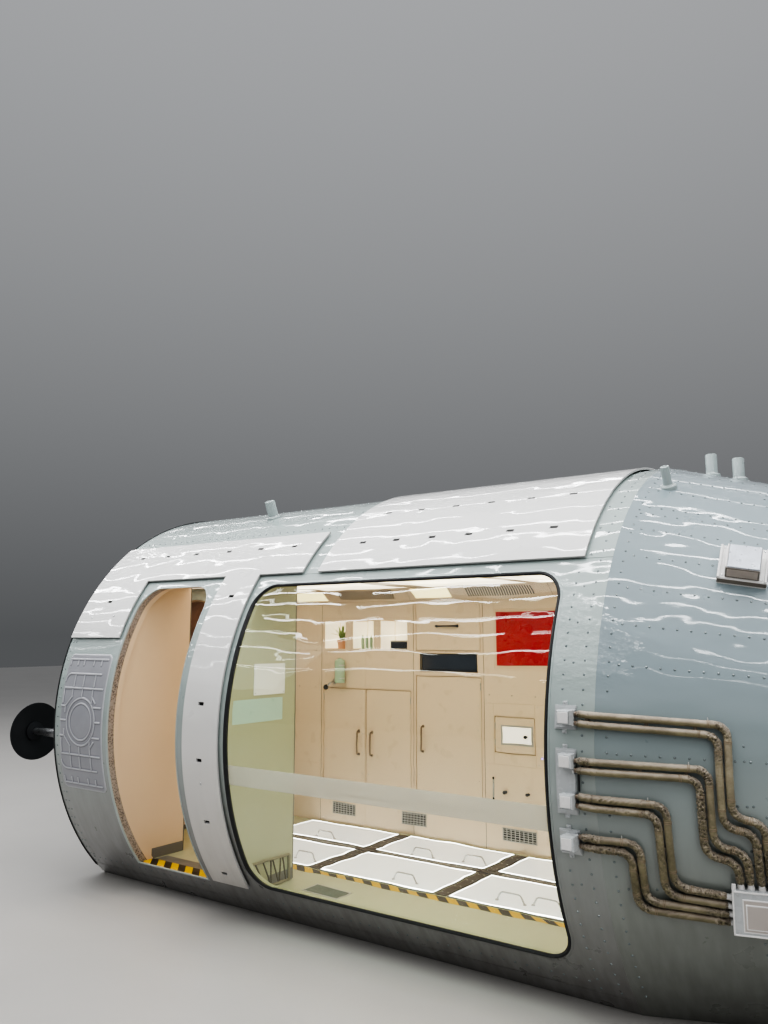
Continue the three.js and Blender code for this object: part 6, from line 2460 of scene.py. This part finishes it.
# Camera, light and ground
CENTRE = Vector((0.9, 0, 1.3))
STRIP_ROWS = [
    # elevation in degrees seen from the axis, watts per metre, width
    (25, 1.3, 0.05),
    (32, 2.2, 0.05),
    (39, 3.2, 0.06),
    (46, 5.0, 0.07),
    (53, 6.0, 0.07),
    (60, 7.0, 0.08),
    (67, 8.0, 0.08),
    (75, 8.5, 0.09),
    (83, 7.5, 0.08),
    (92, 6.5, 0.08),
    (102, 4.5, 0.06),
    (114, 3.5, 0.06),
    (128, 3.0, 0.06),
]
LAMP_ROW = {"reach": 7.0, "from": -13.0, "to": 7.6, "short": 1.5, "long": 4.4, "gap": (0.2, 0.7), "seed": 4}
SOFT_LIGHTS = [
    # name, place, aim, size across and up, watts, colour
    ("top_fill", (1.0, -1.5, 8.0), CENTRE, 8.0, 5.0, 235, (1.0, 0.99, 0.97)),
    ("side_fill", (8.0, -7.5, 4.5), (2.0, -0.5, 1.0), 4.0, 3.0, 125, (1.0, 0.99, 0.97)),
    ("left_fill", (-7.0, -5.5, 4.5), (-1.5, 0, 1.2), 4.0, 3.0, 62, (0.97, 0.99, 1.0)),
    ("back_fill", (0.5, 7.5, 5.0), CENTRE, 7.0, 3.0, 220, (1.0, 1.0, 1.0)),
]
CABIN_LIGHT = (0.8, 1.0, 5.6, (1.0, 0.88, 0.70))  # size across and up, watts, colour
CABIN_LIGHT_PLACES = [-1.4, -0.5, 0.5, 1.4]
GROUND_HALF = 40.0


def build_camera():
    data = bpy.data.cameras.new("camera")
    data.lens = CAMERA_LENS
    data.sensor_width = 36
    data.sensor_fit = "AUTO"
    camera = bpy.data.objects.new("camera", data)
    camera.location = CAMERA_PLACE
    camera.rotation_euler = (math.radians(90 + CAMERA_PITCH), 0, math.radians(CAMERA_TURN))
    bpy.context.scene.collection.objects.link(camera)
    bpy.context.scene.camera = camera


def area_light(name, place_at, aim, size_x, size_y, power, colour=(1, 1, 1)):
    data = bpy.data.lights.new(name, "AREA")
    data.shape = "RECTANGLE"
    data.size = size_x
    data.size_y = size_y
    data.energy = power
    data.color = colour
    lamp = bpy.data.objects.new(name, data)
    lamp.location = place_at
    direction = Vector(aim) - Vector(place_at)
    lamp.rotation_euler = direction.to_track_quat("-Z", "Y").to_euler()
    lamp.visible_camera = False
    bpy.context.scene.collection.objects.link(lamp)
    return lamp


def build_lights():
    """Broken rows of strip lamps, which draw the bright streaks on the paint, and soft fills."""
    lamps = []
    axis, reach = AXIS_Z / METRE, LAMP_ROW["reach"]
    seeded = random.Random(LAMP_ROW["seed"])
    for elevation, power, width in STRIP_ROWS:
        x = LAMP_ROW["from"] + seeded.uniform(0, 1.2)
        while x < LAMP_ROW["to"]:
            length = seeded.uniform(LAMP_ROW["short"], LAMP_ROW["long"])
            a = math.radians(elevation + seeded.uniform(-1.0, 1.0))
            spot = (x + length / 2, -reach * math.cos(a), axis + reach * math.sin(a))
            lamp = area_light(f"strip_{len(lamps)}", spot, spot, length, width, power * length)
            lamp.rotation_euler = (math.pi / 2 - a, 0, 0)
            lamps.append(lamp)
            x += length + seeded.uniform(*LAMP_ROW["gap"])
    height = CEILING / METRE - 0.03
    cabin = [(f"cabin_{x}", (x, -0.4, height), (x, -0.38, 0), *CABIN_LIGHT) for x in CABIN_LIGHT_PLACES]
    for fill in SOFT_LIGHTS + cabin:
        lamp = area_light(*fill)
        lamp.visible_glossy = False
        lamps.append(lamp)
    return lamps


def build_ground():
    ground_look, shader = new_look("studio_floor", Roughness=0.42)
    base = mixed(ground_look, grain(ground_look, 0.8, 5.0), (0.36, 0.35, 0.335), (0.42, 0.41, 0.395))
    feed(ground_look, shader, Base_Color=base)
    mesh = bpy.data.meshes.new("ground")
    corners = [(x * GROUND_HALF, y * GROUND_HALF, 0) for x, y in ((-1, -1), (1, -1), (1, 1), (-1, 1))]
    mesh.from_pydata(corners, [], [(0, 1, 2, 3)])
    mesh.materials.append(ground_look)
    ground = bpy.data.objects.new("ground", mesh)
    ground.location.z = -0.001
    bpy.context.scene.collection.objects.link(ground)
    return ground


def build_world():
    """A plain sky, brighter overhead than at the horizon."""
    world = bpy.data.worlds.new("studio")
    world.use_nodes = True
    tree = world.node_tree
    background = tree.nodes["Background"]
    up = node(world, "SeparateXYZ", {"Vector": node(world, "TexCoord").outputs["Generated"]}).outputs["Z"]
    share = spread(world, up, 0.0, 0.9, 0.0, 1.0)
    tone = mixed(world, share, (0.16, 0.165, 0.17), (0.64, 0.65, 0.67))
    tree.links.new(tone, background.inputs["Color"])
    background.inputs["Strength"].default_value = 0.8
    bpy.context.scene.world = world


build_barrel()
build_keel()
build_cone()
build_rivets("barrel_rivets", BARREL_RIVETS, BARREL_TAKEN, "hull_paint")
build_rivets("cone_rivets", CONE_RIVETS, CONE_TAKEN, "cone_paint")
build_shields()
build_relief("relief_near", "relief_plate_near", False)
build_relief("relief_far", "relief_plate_far", True)
build_trim()
build_end_plate()
build_forward_face()
build_dishes()
build_collar()
build_doorway()
build_window()
build_connection_boxes()
build_junction_box()
build_hoses()
build_equipment_box()
build_posts()
build_cradle()
build_deck()
build_ceiling()
build_racks()
for leaf in LEAVES:
    build_leaf(*leaf)
build_shelves()
build_wall_fittings()
build_niches()
build_plant()
build_partitions()
build_end_walls()
build_camera()
build_ground()
build_lights()
build_world()
bpy.context.scene.view_settings.look = "AgX - High Contrast"
bpy.context.scene.view_settings.exposure = -0.25
